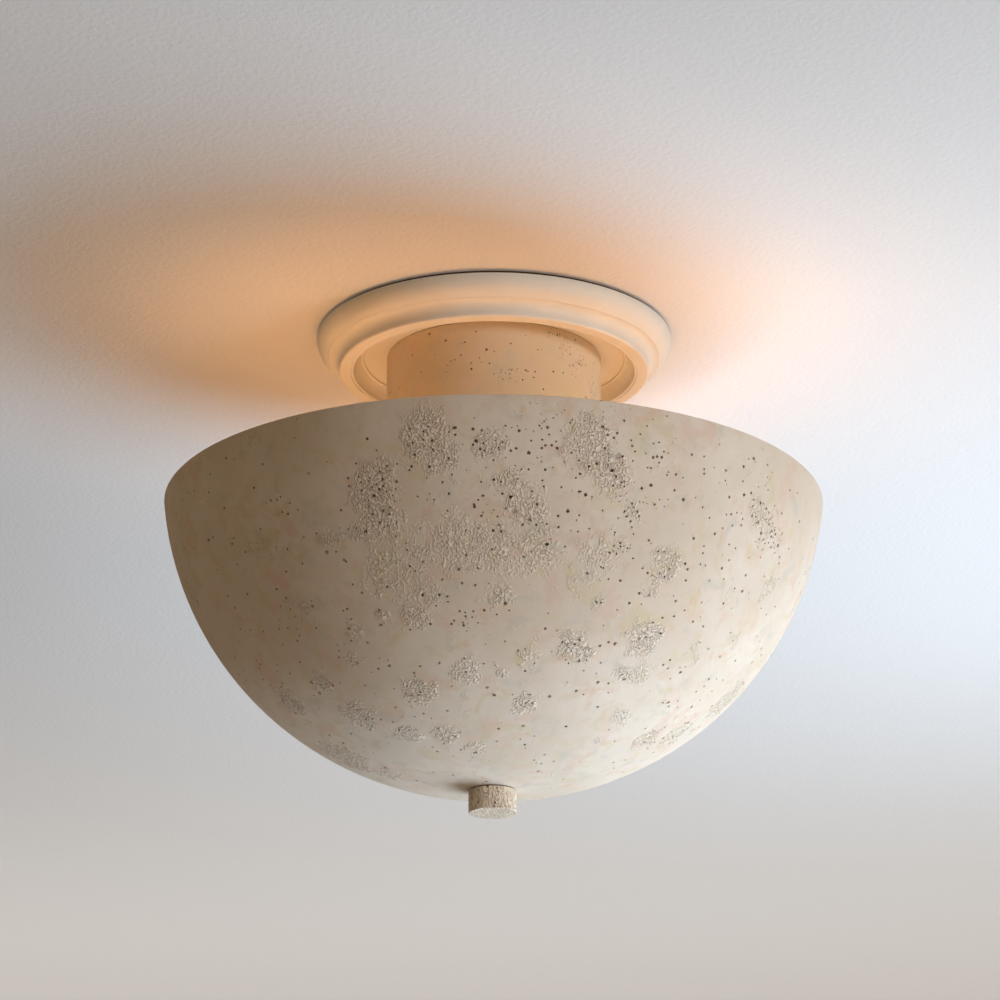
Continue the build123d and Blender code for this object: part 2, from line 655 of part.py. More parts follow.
def bowl():
    """Bowl of even wall, with a flat inside for the pad and a flat outside for the finial."""
    inner_arc_r = bowl_arc_r - bowl_wall
    rise = z_rim - z_bowl_arc

    def wall_r(arc_r, z):
        return bowl_flat_r + sqrt(arc_r ** 2 - (z_bowl_arc - z) ** 2)

    def mid(arc_r, start, end):
        a0 = atan2(start[1] - z_bowl_arc, start[0] - bowl_flat_r)
        a1 = atan2(end[1] - z_bowl_arc, end[0] - bowl_flat_r)
        a = (a0 + a1) / 2
        return (bowl_flat_r + arc_r * cos(a), z_bowl_arc + arc_r * sin(a))

    e = bowl_edge_round
    rim_inner = (bowl_flat_r + sqrt(inner_arc_r ** 2 - rise ** 2), z_rim)
    outer_top = (wall_r(bowl_arc_r, z_rim - e), z_rim - e)
    inner_top = (wall_r(inner_arc_r, z_rim - e), z_rim - e)
    outer_end = (wall_r(bowl_arc_r, z_finial_seat), z_finial_seat)
    inner_end = (wall_r(inner_arc_r, z_bowl_floor), z_bowl_floor)
    hole_r = pipe_r + bowl_hole_gap
    return turned(
        ThreePointArc(outer_top, mid(bowl_arc_r, outer_top, outer_end), outer_end),
        Polyline(outer_end, (hole_r, z_finial_seat), (hole_r, z_bowl_floor), inner_end),
        ThreePointArc(inner_end, mid(inner_arc_r, inner_end, inner_top), inner_top),
        Polyline(inner_top, (rim_inner[0] + e, z_rim), (bowl_rim_r - e, z_rim), outer_top))


def finial():
    """Stone-look knob with a blind pocket for its insert."""
    pocket_r = pipe_r + insert_wall + glue_gap
    e = finial_edge_round
    return turned_lines((0, z_finial_bottom), (finial_r - e, z_finial_bottom), (finial_r, z_finial_bottom + e),
                        (finial_r, z_finial_top - e / 2), (finial_r - e / 2, z_finial_top),
                        (pocket_r, z_finial_top), (pocket_r, z_finial_top - insert_pocket),
                        (0, z_finial_top - insert_pocket))


def finial_insert():
    return ring(pipe_r + insert_wall, pipe_r + thread_gap, z_finial_top - insert_length, z_finial_top)


def main():
    os.makedirs("parts", exist_ok=True)
    gasket_outer_r = ring_outer_r - gasket_setback
    save(ring(gasket_outer_r, gasket_outer_r - gasket_width, z_ring_top, 0), "ceiling_gasket")
    save(canopy_ring(), "canopy_ring")
    save(crossbar(), "crossbar")
    save(ground_screw(), "ground_screw")
    save(ground_wire(), "ground_wire")
    save(ground_lug(), "ground_lug")
    save(centre_pipe(), "centre_pipe")
    save(pipe_nut(-crossbar_thickness - crossbar_collar_height - nut_height), "crossbar_nut")
    save(canopy_cylinder(), "canopy_cylinder")
    save(socket_plate(), "socket_plate")
    save(wire_grommets(), "wire_grommets")
    z_washer = z_plate_bottom - washer_thickness
    save(ring(pipe_r + washer_wall, pipe_r + washer_gap, z_washer, z_plate_bottom), "plate_washer")
    save(pipe_nut(z_washer - nut_height), "plate_nut")
    screws, nuts = bracket_fasteners()
    save(screws, "bracket_screws")
    save(nuts, "bracket_nuts")
    save(Compound(children=[holder_nipple(a) for a in azimuths]), "holder_nipples")
    save(Compound(children=[holder_nut(a) for a in azimuths]), "holder_nuts")
    pieces = {"holder_bracket": holder_bracket, "lampholder": lampholder, "screw_shell": screw_shell,
              "centre_contact": centre_contact, "bulb_cap": bulb_cap, "bulb_tip": bulb_tip,
              "bulb_body": bulb_body, "led_board": led_board, "bulb_globe": bulb_globe}
    for name, make in pieces.items():
        for i, azimuth in enumerate(azimuths):
            save(make(azimuth), name + "_" + str(i + 1))
    for name, shape in all_leads().items():
        save(shape, name)
    save(wire_connector(-connector_x, 0), "black_connector")
    save(wire_connector(connector_x, connector_step), "white_connector")
    save(bowl(), "bowl")
    save(ring(pipe_r + pad_wall, pipe_r + bowl_hole_gap, z_bowl_floor, z_pad_top), "bowl_pad")
    save(ring(pipe_r + bowl_plate_wall, pipe_r + bowl_plate_gap, z_pad_top, z_stop), "bowl_plate")
    save(Compound(children=[pipe_nut(z_stop), pipe_nut(z_stop + nut_height)]), "stop_nuts")
    save(ring(finial_r - finial_washer_inset, pipe_r + finial_washer_gap, z_finial_top, z_finial_seat),
         "finial_washer")
    save(finial(), "finial")
    save(finial_insert(), "finial_insert")


main()
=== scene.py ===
import json
import random
from math import atan2, cos, hypot, pi, radians, sin, sqrt, tau

import bmesh
import bpy
from mathutils import Matrix, Vector, noise
from mathutils.kdtree import KDTree


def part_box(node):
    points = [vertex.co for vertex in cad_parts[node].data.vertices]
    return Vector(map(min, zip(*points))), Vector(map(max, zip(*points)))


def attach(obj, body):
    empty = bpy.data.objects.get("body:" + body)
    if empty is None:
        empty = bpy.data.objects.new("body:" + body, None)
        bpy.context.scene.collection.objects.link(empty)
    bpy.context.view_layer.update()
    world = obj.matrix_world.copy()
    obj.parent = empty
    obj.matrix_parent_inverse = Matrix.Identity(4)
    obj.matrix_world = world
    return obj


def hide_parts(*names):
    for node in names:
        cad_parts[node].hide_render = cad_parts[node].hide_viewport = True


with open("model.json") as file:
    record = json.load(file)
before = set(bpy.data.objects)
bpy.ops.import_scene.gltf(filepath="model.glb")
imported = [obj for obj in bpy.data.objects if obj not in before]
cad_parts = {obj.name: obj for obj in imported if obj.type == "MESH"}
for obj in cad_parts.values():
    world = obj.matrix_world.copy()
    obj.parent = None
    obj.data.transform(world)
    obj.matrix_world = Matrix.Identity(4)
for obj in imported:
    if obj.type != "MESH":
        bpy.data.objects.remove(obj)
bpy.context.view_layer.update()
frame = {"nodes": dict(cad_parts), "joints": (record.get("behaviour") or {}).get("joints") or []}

# The light hangs under z = 0, on the Z axis. The camera stands in front of it, at -Y, and looks up.
# Sizes are in metres. Radii and heights that the frame gives are read from it.
MM = 0.001
nodes = frame["nodes"]
joints = {joint["name"]: joint for joint in frame["joints"]}
bulb_numbers = (1, 2, 3)


def radius_of(node):
    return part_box(node)[1].x


def heights_of(node):
    low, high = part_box(node)
    return low.z, high.z


# The photograph's own viewpoint, in front, well below the ceiling, looking up. Lengths that are
# seen through it are in pixels of a photograph 1000 wide.
PHOTO_SIZE = 1000
PHOTO_MIDDLE = 493.54
FOCAL = 3354.2
CAMERA_PLACE = Vector((0, -1.96547, -0.78875))
CAMERA_PITCH = radians(19.085)
CAMERA_ROLL = 0.0032
CAMERA_TURN = Matrix.Rotation(pi / 2 + CAMERA_PITCH, 3, "X") @ Matrix.Rotation(CAMERA_ROLL, 3, "Z")
# Halvings of the way along a sight that close in on the bowl
HALVINGS = 30

# Strength of the bulbs and of the world's light, and the stage's colours, heights and half widths
GLOW = 11.0
WORLD = 0.23
WORLD_COLOUR = (1.0, 0.71, 0.41)
BACKDROP = (0.80, 0.79, 0.77)
CEILING = (0.71, 0.69, 0.68)
CEILING_Z = -0.6 * MM
CEILING_HALF = 4.0
FLOOR = (0.70, 0.67, 0.63)
FLOOR_Z = -1.1
FLOOR_HALF = 30.0

# The canopy ring's section, by radius and height
ring_outer = radius_of("canopy_ring")
ring_low, ring_high = heights_of("canopy_ring")
ring_edge = 0.4 * MM
ring_lip = 1.2 * MM
ring_plate = ring_low + 9.6 * MM
face_line = 104.0 * MM
face_step = 0.7 * MM
ridge_outer = 97.3 * MM
ridge_round = 1.3 * MM
ridge_wall = 1.7 * MM
ridge_inner = 88.0 * MM
ridge_bead = 1.0 * MM
recess = 81.6 * MM
plate_bead = 0.7 * MM
cove_sag = 0.8 * MM
back_recess = 79.5 * MM
plate_thickness = 4.0 * MM
spigot_outer = 59.8 * MM
spigot_inner = 53.8 * MM
spigot_drop = 3.0 * MM
wiring_hole = 32.0 * MM

# The bowl's section: one arc round a centre that is a little off the axis. The skin is the depth
# within which a point counts as on the outside.
bowl_rim = 203.2 * MM
bowl_low, bowl_high = heights_of("bowl")
bowl_depth = 178.0 * MM
bowl_offset = 4.8 * MM
bowl_wall = 6.0 * MM
bowl_skin = 4.0 * MM
bowl_arc = ((bowl_rim - bowl_offset) ** 2 + bowl_depth ** 2) / (2 * bowl_depth)
bowl_arc_z = bowl_high - bowl_depth + bowl_arc
bowl_edge = 0.6 * MM
bowl_hole = 6.0 * MM
bowl_floor = bowl_high - bowl_depth + 7.0 * MM
lining_arc = bowl_arc - bowl_wall

# The rough patches of the bowl: where their middles show in the photograph, across and down in pixels,
# then radius in millimetres, strength of the pits and strength of the ripples
BOWL_PATCHES = (
    (188, 480, 9, 0.3, 0.3), (199, 463, 10, 0.2, 0.4), (220, 447, 9, 0.2, 0.4), (254, 440, 9, 0.3, 0.5),
    (210, 545, 7, 0.3, 0.2), (280, 504, 12, 0.4, 0.2), (294, 510, 6, 0.6, 0.2), (258, 550, 15, 0.1, 0.5),
    (329, 539, 9, 0.1, 0.7), (302, 607, 14, 0.1, 0.5), (351, 659, 8, 0.5, 0.6), (354, 629, 9, 0.1, 0.6),
    (376, 482, 15, 1.0, 0.9), (368, 498, 12, 0.6, 0.9), (380, 522, 15, 0.4, 0.8), (362, 530, 8, 0.4, 0.8),
    (425, 437, 17, 0.3, 1.0), (440, 457, 13, 0.3, 0.9), (425, 418, 10, 0.2, 0.8), (489, 443, 12, 1.0, 0.7),
    (545, 419, 18, 0.5, 0.1), (509, 480, 10, 0.4, 0.7), (525, 506, 17, 0.2, 0.7), (489, 510, 16, 0.6, 0.1),
    (589, 441, 16, 0.1, 1.0), (598, 458, 15, 0.2, 1.0), (610, 473, 15, 0.6, 1.0), (617, 486, 9, 0.9, 0.6),
    (634, 515, 8, 1.0, 0.5), (640, 505, 6, 1.0, 0.3), (618, 546, 9, 1.0, 0.4), (600, 554, 15, 0.1, 0.5),
    (667, 566, 13, 0.5, 0.9), (650, 590, 8, 0.4, 0.5), (455, 545, 22, 0.05, 0.6), (495, 550, 20, 0.05, 0.6),
    (529, 546, 21, 0.1, 0.6), (415, 560, 18, 0.1, 0.5), (383, 577, 16, 0.1, 0.6), (420, 600, 15, 0.1, 0.5),
    (382, 615, 5, 1.0, 0.9), (413, 615, 9, 0.1, 0.9), (501, 596, 8, 0.2, 0.9), (581, 570, 18, 0.1, 0.4),
    (597, 602, 7, 0.5, 0.5), (760, 480, 20, 0.35, 0.25), (758, 514, 13, 0.6, 0.6), (769, 530, 15, 0.9, 0.5),
    (775, 541, 9, 1.0, 0.3), (769, 587, 11, 0.3, 0.7), (730, 600, 12, 0.1, 0.3), (571, 644, 10, 1.0, 0.9),
    (581, 653, 8, 0.9, 1.0), (644, 639, 13, 0.6, 1.0), (636, 674, 11, 0.2, 0.6), (734, 642, 9, 0.1, 0.4),
    (696, 650, 12, 0.1, 0.35), (704, 677, 5, 0.6, 0.2), (666, 705, 5, 1.0, 0.3), (467, 624, 7, 1.0, 0.0),
    (465, 672, 10, 0.2, 1.0), (525, 658, 8, 0.1, 0.6), (421, 692, 12, 0.4, 1.0), (525, 704, 9, 0.8, 1.0),
    (360, 715, 13, 0.5, 1.0), (408, 734, 9, 0.3, 1.0), (445, 735, 9, 0.3, 1.0), (622, 717, 9, 0.2, 0.7),
    (648, 738, 11, 0.3, 0.9), (598, 741, 6, 0.1, 0.5), (320, 682, 9, 0.4, 0.9), (291, 703, 13, 0.4, 0.8),
    (280, 690, 10, 0.5, 0.5), (680, 732, 8, 0.2, 0.6), (352, 758, 15, 0.4, 0.8), (390, 775, 14, 0.5, 0.6),
    (549, 773, 8, 0.1, 0.4), (478, 749, 10, 0.1, 0.5), (622, 672, 9, 0.5, 0.5), (501, 672, 4, 0.2, 0.7),
    (560, 440, 62, 0.34, 0.0), (650, 480, 50, 0.26, 0.0), (440, 470, 45, 0.22, 0.1),
    (540, 520, 50, 0.20, 0.0), (740, 500, 45, 0.18, 0.0), (500, 610, 60, 0.10, 0.1),
    (640, 640, 45, 0.16, 0.0), (480, 720, 60, 0.10, 0.1),
)

# The bowl's largest pits: where they show in the photograph, and radius in millimetres
BOWL_PITS = (
    (457, 429, 1.75), (493, 528, 1.4), (442, 594, 1.4), (628, 601, 1.4), (573, 691, 1.4), (668, 703, 1.75),
    (710, 678, 1.4), (547, 626, 1.4), (557, 761, 1.05), (437, 751, 1.05), (396, 708, 1.05), (348, 732, 1.4),
    (345, 563, 1.4), (387, 664, 1.75), (363, 686, 1.05), (309, 472, 1.4), (555, 518, 1.05), (446, 597, 1.05),
)

# The same for the cylinder
CYLINDER_PATCHES = (
    (567, 343, 13, 0.9, 0.3), (578, 362, 11, 0.8, 0.4), (556, 331, 8, 0.8, 0.2), (421, 376, 8, 0.7, 0.3),
    (507, 374, 9, 0.7, 0.2), (464, 337, 9, 0.4, 0.1), (450, 368, 7, 0.8, 0.2), (400, 345, 9, 0.5, 0.2),
    (533, 352, 10, 0.4, 0.1), (480, 358, 12, 0.3, 0.0), (590, 385, 9, 0.5, 0.3),
)
CYLINDER_PITS = (
    (469, 371, 1.2), (509, 346, 0.85), (524, 379, 0.85), (533, 379, 0.62), (541, 387, 0.85), (490, 362, 0.62),
    (492, 375, 0.45), (503, 374, 0.45), (393, 391, 0.85), (450, 327, 0.45), (435, 352, 0.45),
    (562, 372, 0.62),
)

# The patches that the photograph doesn't show: where they lie, in degrees from the front, and how many
BACK = (80, 280)
BOWL_BACK_PATCHES = 38
CYLINDER_BACK_PATCHES = 18

# Radii that the pits come in
BOWL_PIT_SIZES = (0.45 * MM, 0.62 * MM, 0.8 * MM, 1.05 * MM, 1.4 * MM, 1.75 * MM)
CYLINDER_PIT_SIZES = (0.45 * MM, 0.62 * MM, 0.85 * MM, 1.2 * MM)
FINIAL_PIT_SIZES = (0.25 * MM, 0.4 * MM)
# A pit's mouth is drawn inwards in two steps: the share of the width left, and the depth by the radius
PIT_STEPS = ((0.86, 0.75), (0.55, 0.55))
# Middle and width of the log-normal spread that radii in millimetres are drawn from, and the largest
PIT_SPREAD = (-0.25, 0.42)
PIT_LARGEST = 2.4
# The radii of two pits next to each other add up to no more than this share of the mesh's edge length
PIT_ROOM = 0.8
# A pit wider than this has a rounder mouth
PIT_ROUND = 0.7 * MM
# In radii of a patch: how far it reaches, where its full strength ends and over what way it fades.
# Noise of the ragged size moves its edge by up to the ragged share.
PATCH_REACH = 1.5
PATCH_CORE = 0.35
PATCH_FADE = 0.95
RAGGED_SIZE = 6 * MM
RAGGED_SHARE = 0.35

# Colours of the stone's stains, and the painted shade and highlight of its relief: painted shade in ripple
# troughs, dents, pores and pits, a painted highlight on ripple crests
OCHRE = (0.62, 0.52, 0.33)
ROSE = (0.66, 0.48, 0.38)
ASH = (0.50, 0.48, 0.42)
RUST = (0.66, 0.44, 0.27)
DUST = (0.42, 0.36, 0.29)
SHADE_IN_TROUGHS = (0.42, 0.28, 0.17)
HIGHLIGHT_ON_CRESTS = (0.92, 0.82, 0.69)
SHADE_IN_DENTS = (0.28, 0.23, 0.18)
SHADE_IN_PORES = (0.080, 0.052, 0.032)
SHADE_IN_PITS = (0.050, 0.036, 0.026)

# Pitch of the screw caps and shells of the bulbs, and their turns
SCREW_PITCH = 3.63 * MM
SCREW_TURNS = 5

# Lamps: name, power in watts, width, place, the point that it faces, and colour
LAMPS = (
    ("window", 48, 0.9, (2.64, -2.06, -0.5), (0, 0, -0.2), (0.98, 0.98, 1.0)),
    ("low_window", 4, 0.8, (1.15, 0.85, -1.0), (0, 0, -0.25), (0.74, 0.87, 1.0)),
    ("floor_bounce", 23, 1.2, (0.52, 0.27, FLOOR_Z + 0.06), (0, 0, -0.25), (0.70, 0.85, 1.0)),
    ("overhead", 7, 1.2, (0, 0, 2.0), (0, 0, -0.1), (1, 1, 1)),
)


class Value:
    """An output in a material's node tree. Arithmetic on it adds Math nodes."""

    def __init__(self, finish, socket):
        self.finish = finish
        self.socket = socket

    def _with(self, operation, *values):
        return self.finish.node("ShaderNodeMath", {"operation": operation}, dict(enumerate(values)))

    def __add__(self, other):
        return self._with("ADD", self, other)

    __radd__ = __add__

    def __mul__(self, other):
        return self._with("MULTIPLY", self, other)

    __rmul__ = __mul__

    def __sub__(self, other):
        return self._with("SUBTRACT", self, other)

    def __rsub__(self, other):
        return self._with("SUBTRACT", other, self)

    def __truediv__(self, other):
        return self._with("DIVIDE", self, other)


class Finish:
    """One material. node() adds any node, and the other methods name the few that repeat."""

    def __init__(self, name, kind=bpy.data.materials):
        self.material = kind.new(name)
        self.material.use_nodes = True
        self.tree = self.material.node_tree
        self.tree.nodes.clear()
        self.place = self.node("ShaderNodeTexCoord", output="Object")

    def node(self, kind, settings=None, values=None, output=0):
        made = self.tree.nodes.new(kind)
        for name, setting in (settings or {}).items():
            setattr(made, name, setting)
        for name, value in (values or {}).items():
            if isinstance(value, Value):
                self.tree.links.new(value.socket, made.inputs[name])
            else:
                made.inputs[name].default_value = value
        return Value(self, made.outputs[output])

    def noise(self, size, detail=2.0, roughness=0.5, distortion=0.0, place=None):
        """Soft noise whose features are about as large as size."""
        return self.node("ShaderNodeTexNoise", values={
            "Vector": place or self.place, "Scale": 1 / size, "Detail": detail, "Roughness": roughness,
            "Distortion": distortion})

    def ramp(self, value, low, high, start=0.0, end=1.0):
        """Smooth step from start to end, as the value goes from low to high."""
        return self.node("ShaderNodeMapRange", {"interpolation_type": "SMOOTHSTEP"}, {
            "Value": value, "From Min": low, "From Max": high, "To Min": start, "To Max": end})

    def mix(self, share, first, second):
        """Colour between two colours."""
        def full(colour):
            return colour if isinstance(colour, Value) else (*colour, 1.0)
        return self.node("ShaderNodeMix", {"data_type": "RGBA"},
                         {0: share, 6: full(first), 7: full(second)}, 2)

    def attribute(self, name):
        return self.node("ShaderNodeAttribute", {"attribute_name": name}, output="Fac")

    def bump(self, height, depth, under=None):
        values = {"Strength": 1.0, "Distance": depth, "Height": height}
        if under:
            values["Normal"] = under
        return self.node("ShaderNodeBump", values=values)

    def done(self, **values):
        """Ends the material in one Principled shader."""
        named = {name.replace("_", " "): value for name, value in values.items()}
        for name, value in named.items():
            if "Color" in name and not isinstance(value, Value):
                named[name] = (*value, 1.0)
        self.show(self.node("ShaderNodeBsdfPrincipled", values=named))
        return self.material

    def show(self, shader, kind="ShaderNodeOutputMaterial"):
        output = self.tree.nodes.new(kind)
        self.tree.links.new(shader.socket, output.inputs["Surface"])
        return self.material

    def seen(self):
        """1 on the rays that see the backdrop: from the camera, off a gloss or through a clear piece."""
        rays = [self.node("ShaderNodeLightPath", output=ray)
                for ray in ("Is Camera Ray", "Is Glossy Ray", "Is Transmission Ray")]
        return rays[0] + rays[1] + rays[2]


def specks(finish, size, share, radius, edge=0.7):
    """Round specks, scattered one to a cell where the share allows, 1 in each speck's middle."""
    cell = {"Vector": finish.place, "Scale": 1 / size, "Randomness": 1.0}
    distance = finish.node("ShaderNodeTexVoronoi", values=cell)
    colour = finish.node("ShaderNodeTexVoronoi", values=cell, output="Color")
    red = finish.node("ShaderNodeSeparateColor", values={"Color": colour}, output="Red")
    green = finish.node("ShaderNodeSeparateColor", values={"Color": colour}, output="Green")
    kept = finish.ramp(share - red, -0.01, 0.01)
    reach = (radius / size) * (0.6 + green * 0.6)
    return kept * finish.ramp(distance / reach, 1.0, edge)


def stained(finish, warm, pale, stains):
    """The stone's ground: two creams in large clouds, with ochre, rose, ash and rust stains."""
    colour = finish.mix(finish.ramp(finish.noise(90 * MM, 3.0, 0.55), 0.35, 0.66), warm, pale)
    ochre = finish.ramp(finish.noise(17 * MM, 3.0, 0.6, 0.8), 0.50, 0.70) * 0.58
    colour = finish.mix(ochre, colour, OCHRE)
    rose = finish.ramp(stains, 0.50, 0.70) * 0.6
    colour = finish.mix(rose, colour, ROSE)
    ash = finish.ramp(finish.noise(14 * MM, 3.0, 0.6, 0.4), 0.54, 0.72) * 0.42
    colour = finish.mix(ash, colour, ASH)
    rust = finish.ramp(finish.noise(9 * MM, 3.0, 0.6), 0.56, 0.74) * finish.ramp(stains, 0.36, 0.6) * 0.55
    return finish.mix(rust, colour, RUST)


def travertine(name, warm, pale, grey=0.0, upright=0.85):
    """Cast stone-look finish, stained, with pores, dents, pits and ripples, and with painted shade in the
    ripples' troughs, dents, pores and pits and a painted highlight on the ripples' crests.

    grey is the share of dust. The less upright is, the longer the ripples stand."""
    finish = Finish(name)
    ragged = finish.noise(7 * MM, 4.0, 0.65) - 0.5
    pitted = finish.ramp(finish.attribute("pits") + ragged * 1.2, 0.15, 0.9)
    rippled = finish.ramp(finish.attribute("ripples") + ragged * 1.5, 0.15, 0.85)
    pit_shade = finish.ramp(finish.attribute("pit_shade"), 0.1, 0.8)
    stains = finish.noise(22 * MM, 3.0, 0.6, 0.5)
    grain = finish.noise(1.1 * MM, 3.0, 0.7)
    colour = stained(finish, warm, pale, stains)
    colour = finish.mix(grey + finish.ramp(grain, 0.3, 0.7) * 0.08, colour, DUST)
    standing = finish.node("ShaderNodeMapping", values={"Vector": finish.place, "Scale": (1.0, 1.0, upright)})
    ripples = finish.ramp(finish.noise(1.3 * MM, 1.0, 0.5, 0.15, standing), 0.41, 0.59)
    # Painted shade in the troughs of the ripples and a painted highlight on their crests
    colour = finish.mix(rippled * (1 - ripples) * 0.20, colour, SHADE_IN_TROUGHS)
    colour = finish.mix(rippled * ripples * 0.58, colour, HIGHLIGHT_ON_CRESTS)
    fine = specks(finish, 2.2 * MM, pitted * 0.8, 0.62 * MM)
    scattered = pitted * 0.3 + finish.ramp(stains, 0.45, 0.6) * 0.3 + 0.1
    stray = specks(finish, 6.0 * MM, scattered, 0.85 * MM)
    dents = specks(finish, 30 * MM, 0.5, 2.3 * MM, 0.2)
    pores = finish.node("ShaderNodeMath", {"operation": "MAXIMUM"}, {0: fine * 0.6, 1: stray})
    # Painted shade inside the dents
    colour = finish.mix(dents * 0.45, colour, SHADE_IN_DENTS)
    # Painted shade inside the pores
    colour = finish.mix(pores * 0.9, colour, SHADE_IN_PORES)
    # Painted shade inside the pits that are cut into the mesh
    colour = finish.mix(pit_shade * 0.93, colour, SHADE_IN_PITS)
    swell = finish.bump(finish.noise(18 * MM, 2.0), 0.4 * MM)
    embossed = finish.bump(ripples * rippled, 0.85 * MM, swell)
    sandy = finish.bump(grain, 0.05 * MM, embossed)
    dented = finish.bump(1 - dents, 0.8 * MM, sandy)
    pored = finish.bump(1 - pores, 0.5 * MM, dented)
    return finish.done(Base_Color=colour, Roughness=0.86, Specular_IOR_Level=0.25, Normal=pored)


def plaster(name, colour, shade):
    """Matte white paint over moulded resin."""
    finish = Finish(name)
    soft = finish.noise(40 * MM, 3.0)
    fine = finish.noise(1.6 * MM, 3.0, 0.6)
    tone = finish.mix(finish.ramp(soft, 0.35, 0.7) * 0.6 + finish.ramp(fine, 0.3, 0.8) * 0.1, colour, shade)
    waves = finish.bump(finish.noise(9 * MM, 2.0), 0.12 * MM)
    return finish.done(Base_Color=tone, Roughness=0.6, Specular_IOR_Level=0.35,
                       Normal=finish.bump(fine, 0.05 * MM, waves))


def metal(name, colour, dull, rough):
    """Plated or bare metal, with a faint grain and duller blotches."""
    finish = Finish(name)
    blotch = finish.noise(7 * MM, 3.0, 0.6)
    grain = finish.noise(0.4 * MM, 2.0, 0.6)
    tone = finish.mix(finish.ramp(blotch, 0.35, 0.7), colour, dull)
    worn = finish.ramp(blotch, 0.3, 0.75, rough, rough + 0.16)
    return finish.done(Base_Color=tone, Metallic=1.0, Roughness=worn, Normal=finish.bump(grain, 0.02 * MM))


def moulded(name, colour, shade, rough, grain=0.03 * MM):
    """Moulded plastic or rubber, with a fine grain and a slightly uneven tone."""
    finish = Finish(name)
    uneven = finish.noise(12 * MM, 3.0)
    fine = finish.noise(0.8 * MM, 2.0, 0.6)
    tone = finish.mix(finish.ramp(uneven, 0.3, 0.75), colour, shade)
    return finish.done(Base_Color=tone, Roughness=finish.ramp(fine, 0.2, 0.8, rough - 0.04, rough + 0.06),
                       Normal=finish.bump(fine, grain))


def glazed(name):
    """Porcelain under a clear glaze, with a few dark flecks."""
    finish = Finish(name)
    flecks = specks(finish, 9 * MM, 0.25, 0.35 * MM)
    pooled = finish.noise(14 * MM, 2.0)
    tone = finish.mix(finish.ramp(pooled, 0.35, 0.7), (0.88, 0.86, 0.80), (0.80, 0.78, 0.72))
    tone = finish.mix(flecks * 0.7, tone, (0.30, 0.25, 0.20))
    return finish.done(Base_Color=tone, Roughness=finish.ramp(pooled, 0.3, 0.8, 0.12, 0.22), Coat_Weight=0.6,
                       Coat_Roughness=0.08, Normal=finish.bump(pooled, 0.15 * MM))


def foam(name):
    """Closed-cell foam, dark brown."""
    finish = Finish(name)
    cells = finish.node("ShaderNodeTexVoronoi", values={"Vector": finish.place, "Scale": 1 / (0.7 * MM)})
    tone = finish.mix(finish.ramp(cells, 0.1, 0.7), (0.045, 0.020, 0.008), (0.090, 0.042, 0.018))
    return finish.done(Base_Color=tone, Roughness=0.95, Specular_IOR_Level=0.02,
                       Normal=finish.bump(cells, 0.15 * MM))


def lit_globe(name):
    """Frosted diffuser, lit warm from inside, its tone and glow a little uneven."""
    finish = Finish(name)
    uneven = finish.noise(20 * MM, 2.0)
    tone = finish.mix(uneven, (0.92, 0.88, 0.80), (0.96, 0.93, 0.86))
    glow = finish.mix(uneven, (1.0, 0.54, 0.24), (1.0, 0.60, 0.29))
    return finish.done(Base_Color=tone, Roughness=0.45, Emission_Color=glow, Emission_Strength=GLOW)


def circuit_board(name):
    """White solder mask with rings of yellow chips."""
    finish = Finish(name)
    chips = finish.node("ShaderNodeTexVoronoi", {"distance": "CHEBYCHEV"}, {
        "Vector": finish.place, "Scale": 1 / (7 * MM), "Randomness": 0.15})
    tone = finish.mix(finish.ramp(chips, 0.26, 0.22), (0.86, 0.86, 0.82), (0.85, 0.68, 0.10))
    return finish.done(Base_Color=tone, Roughness=0.5)


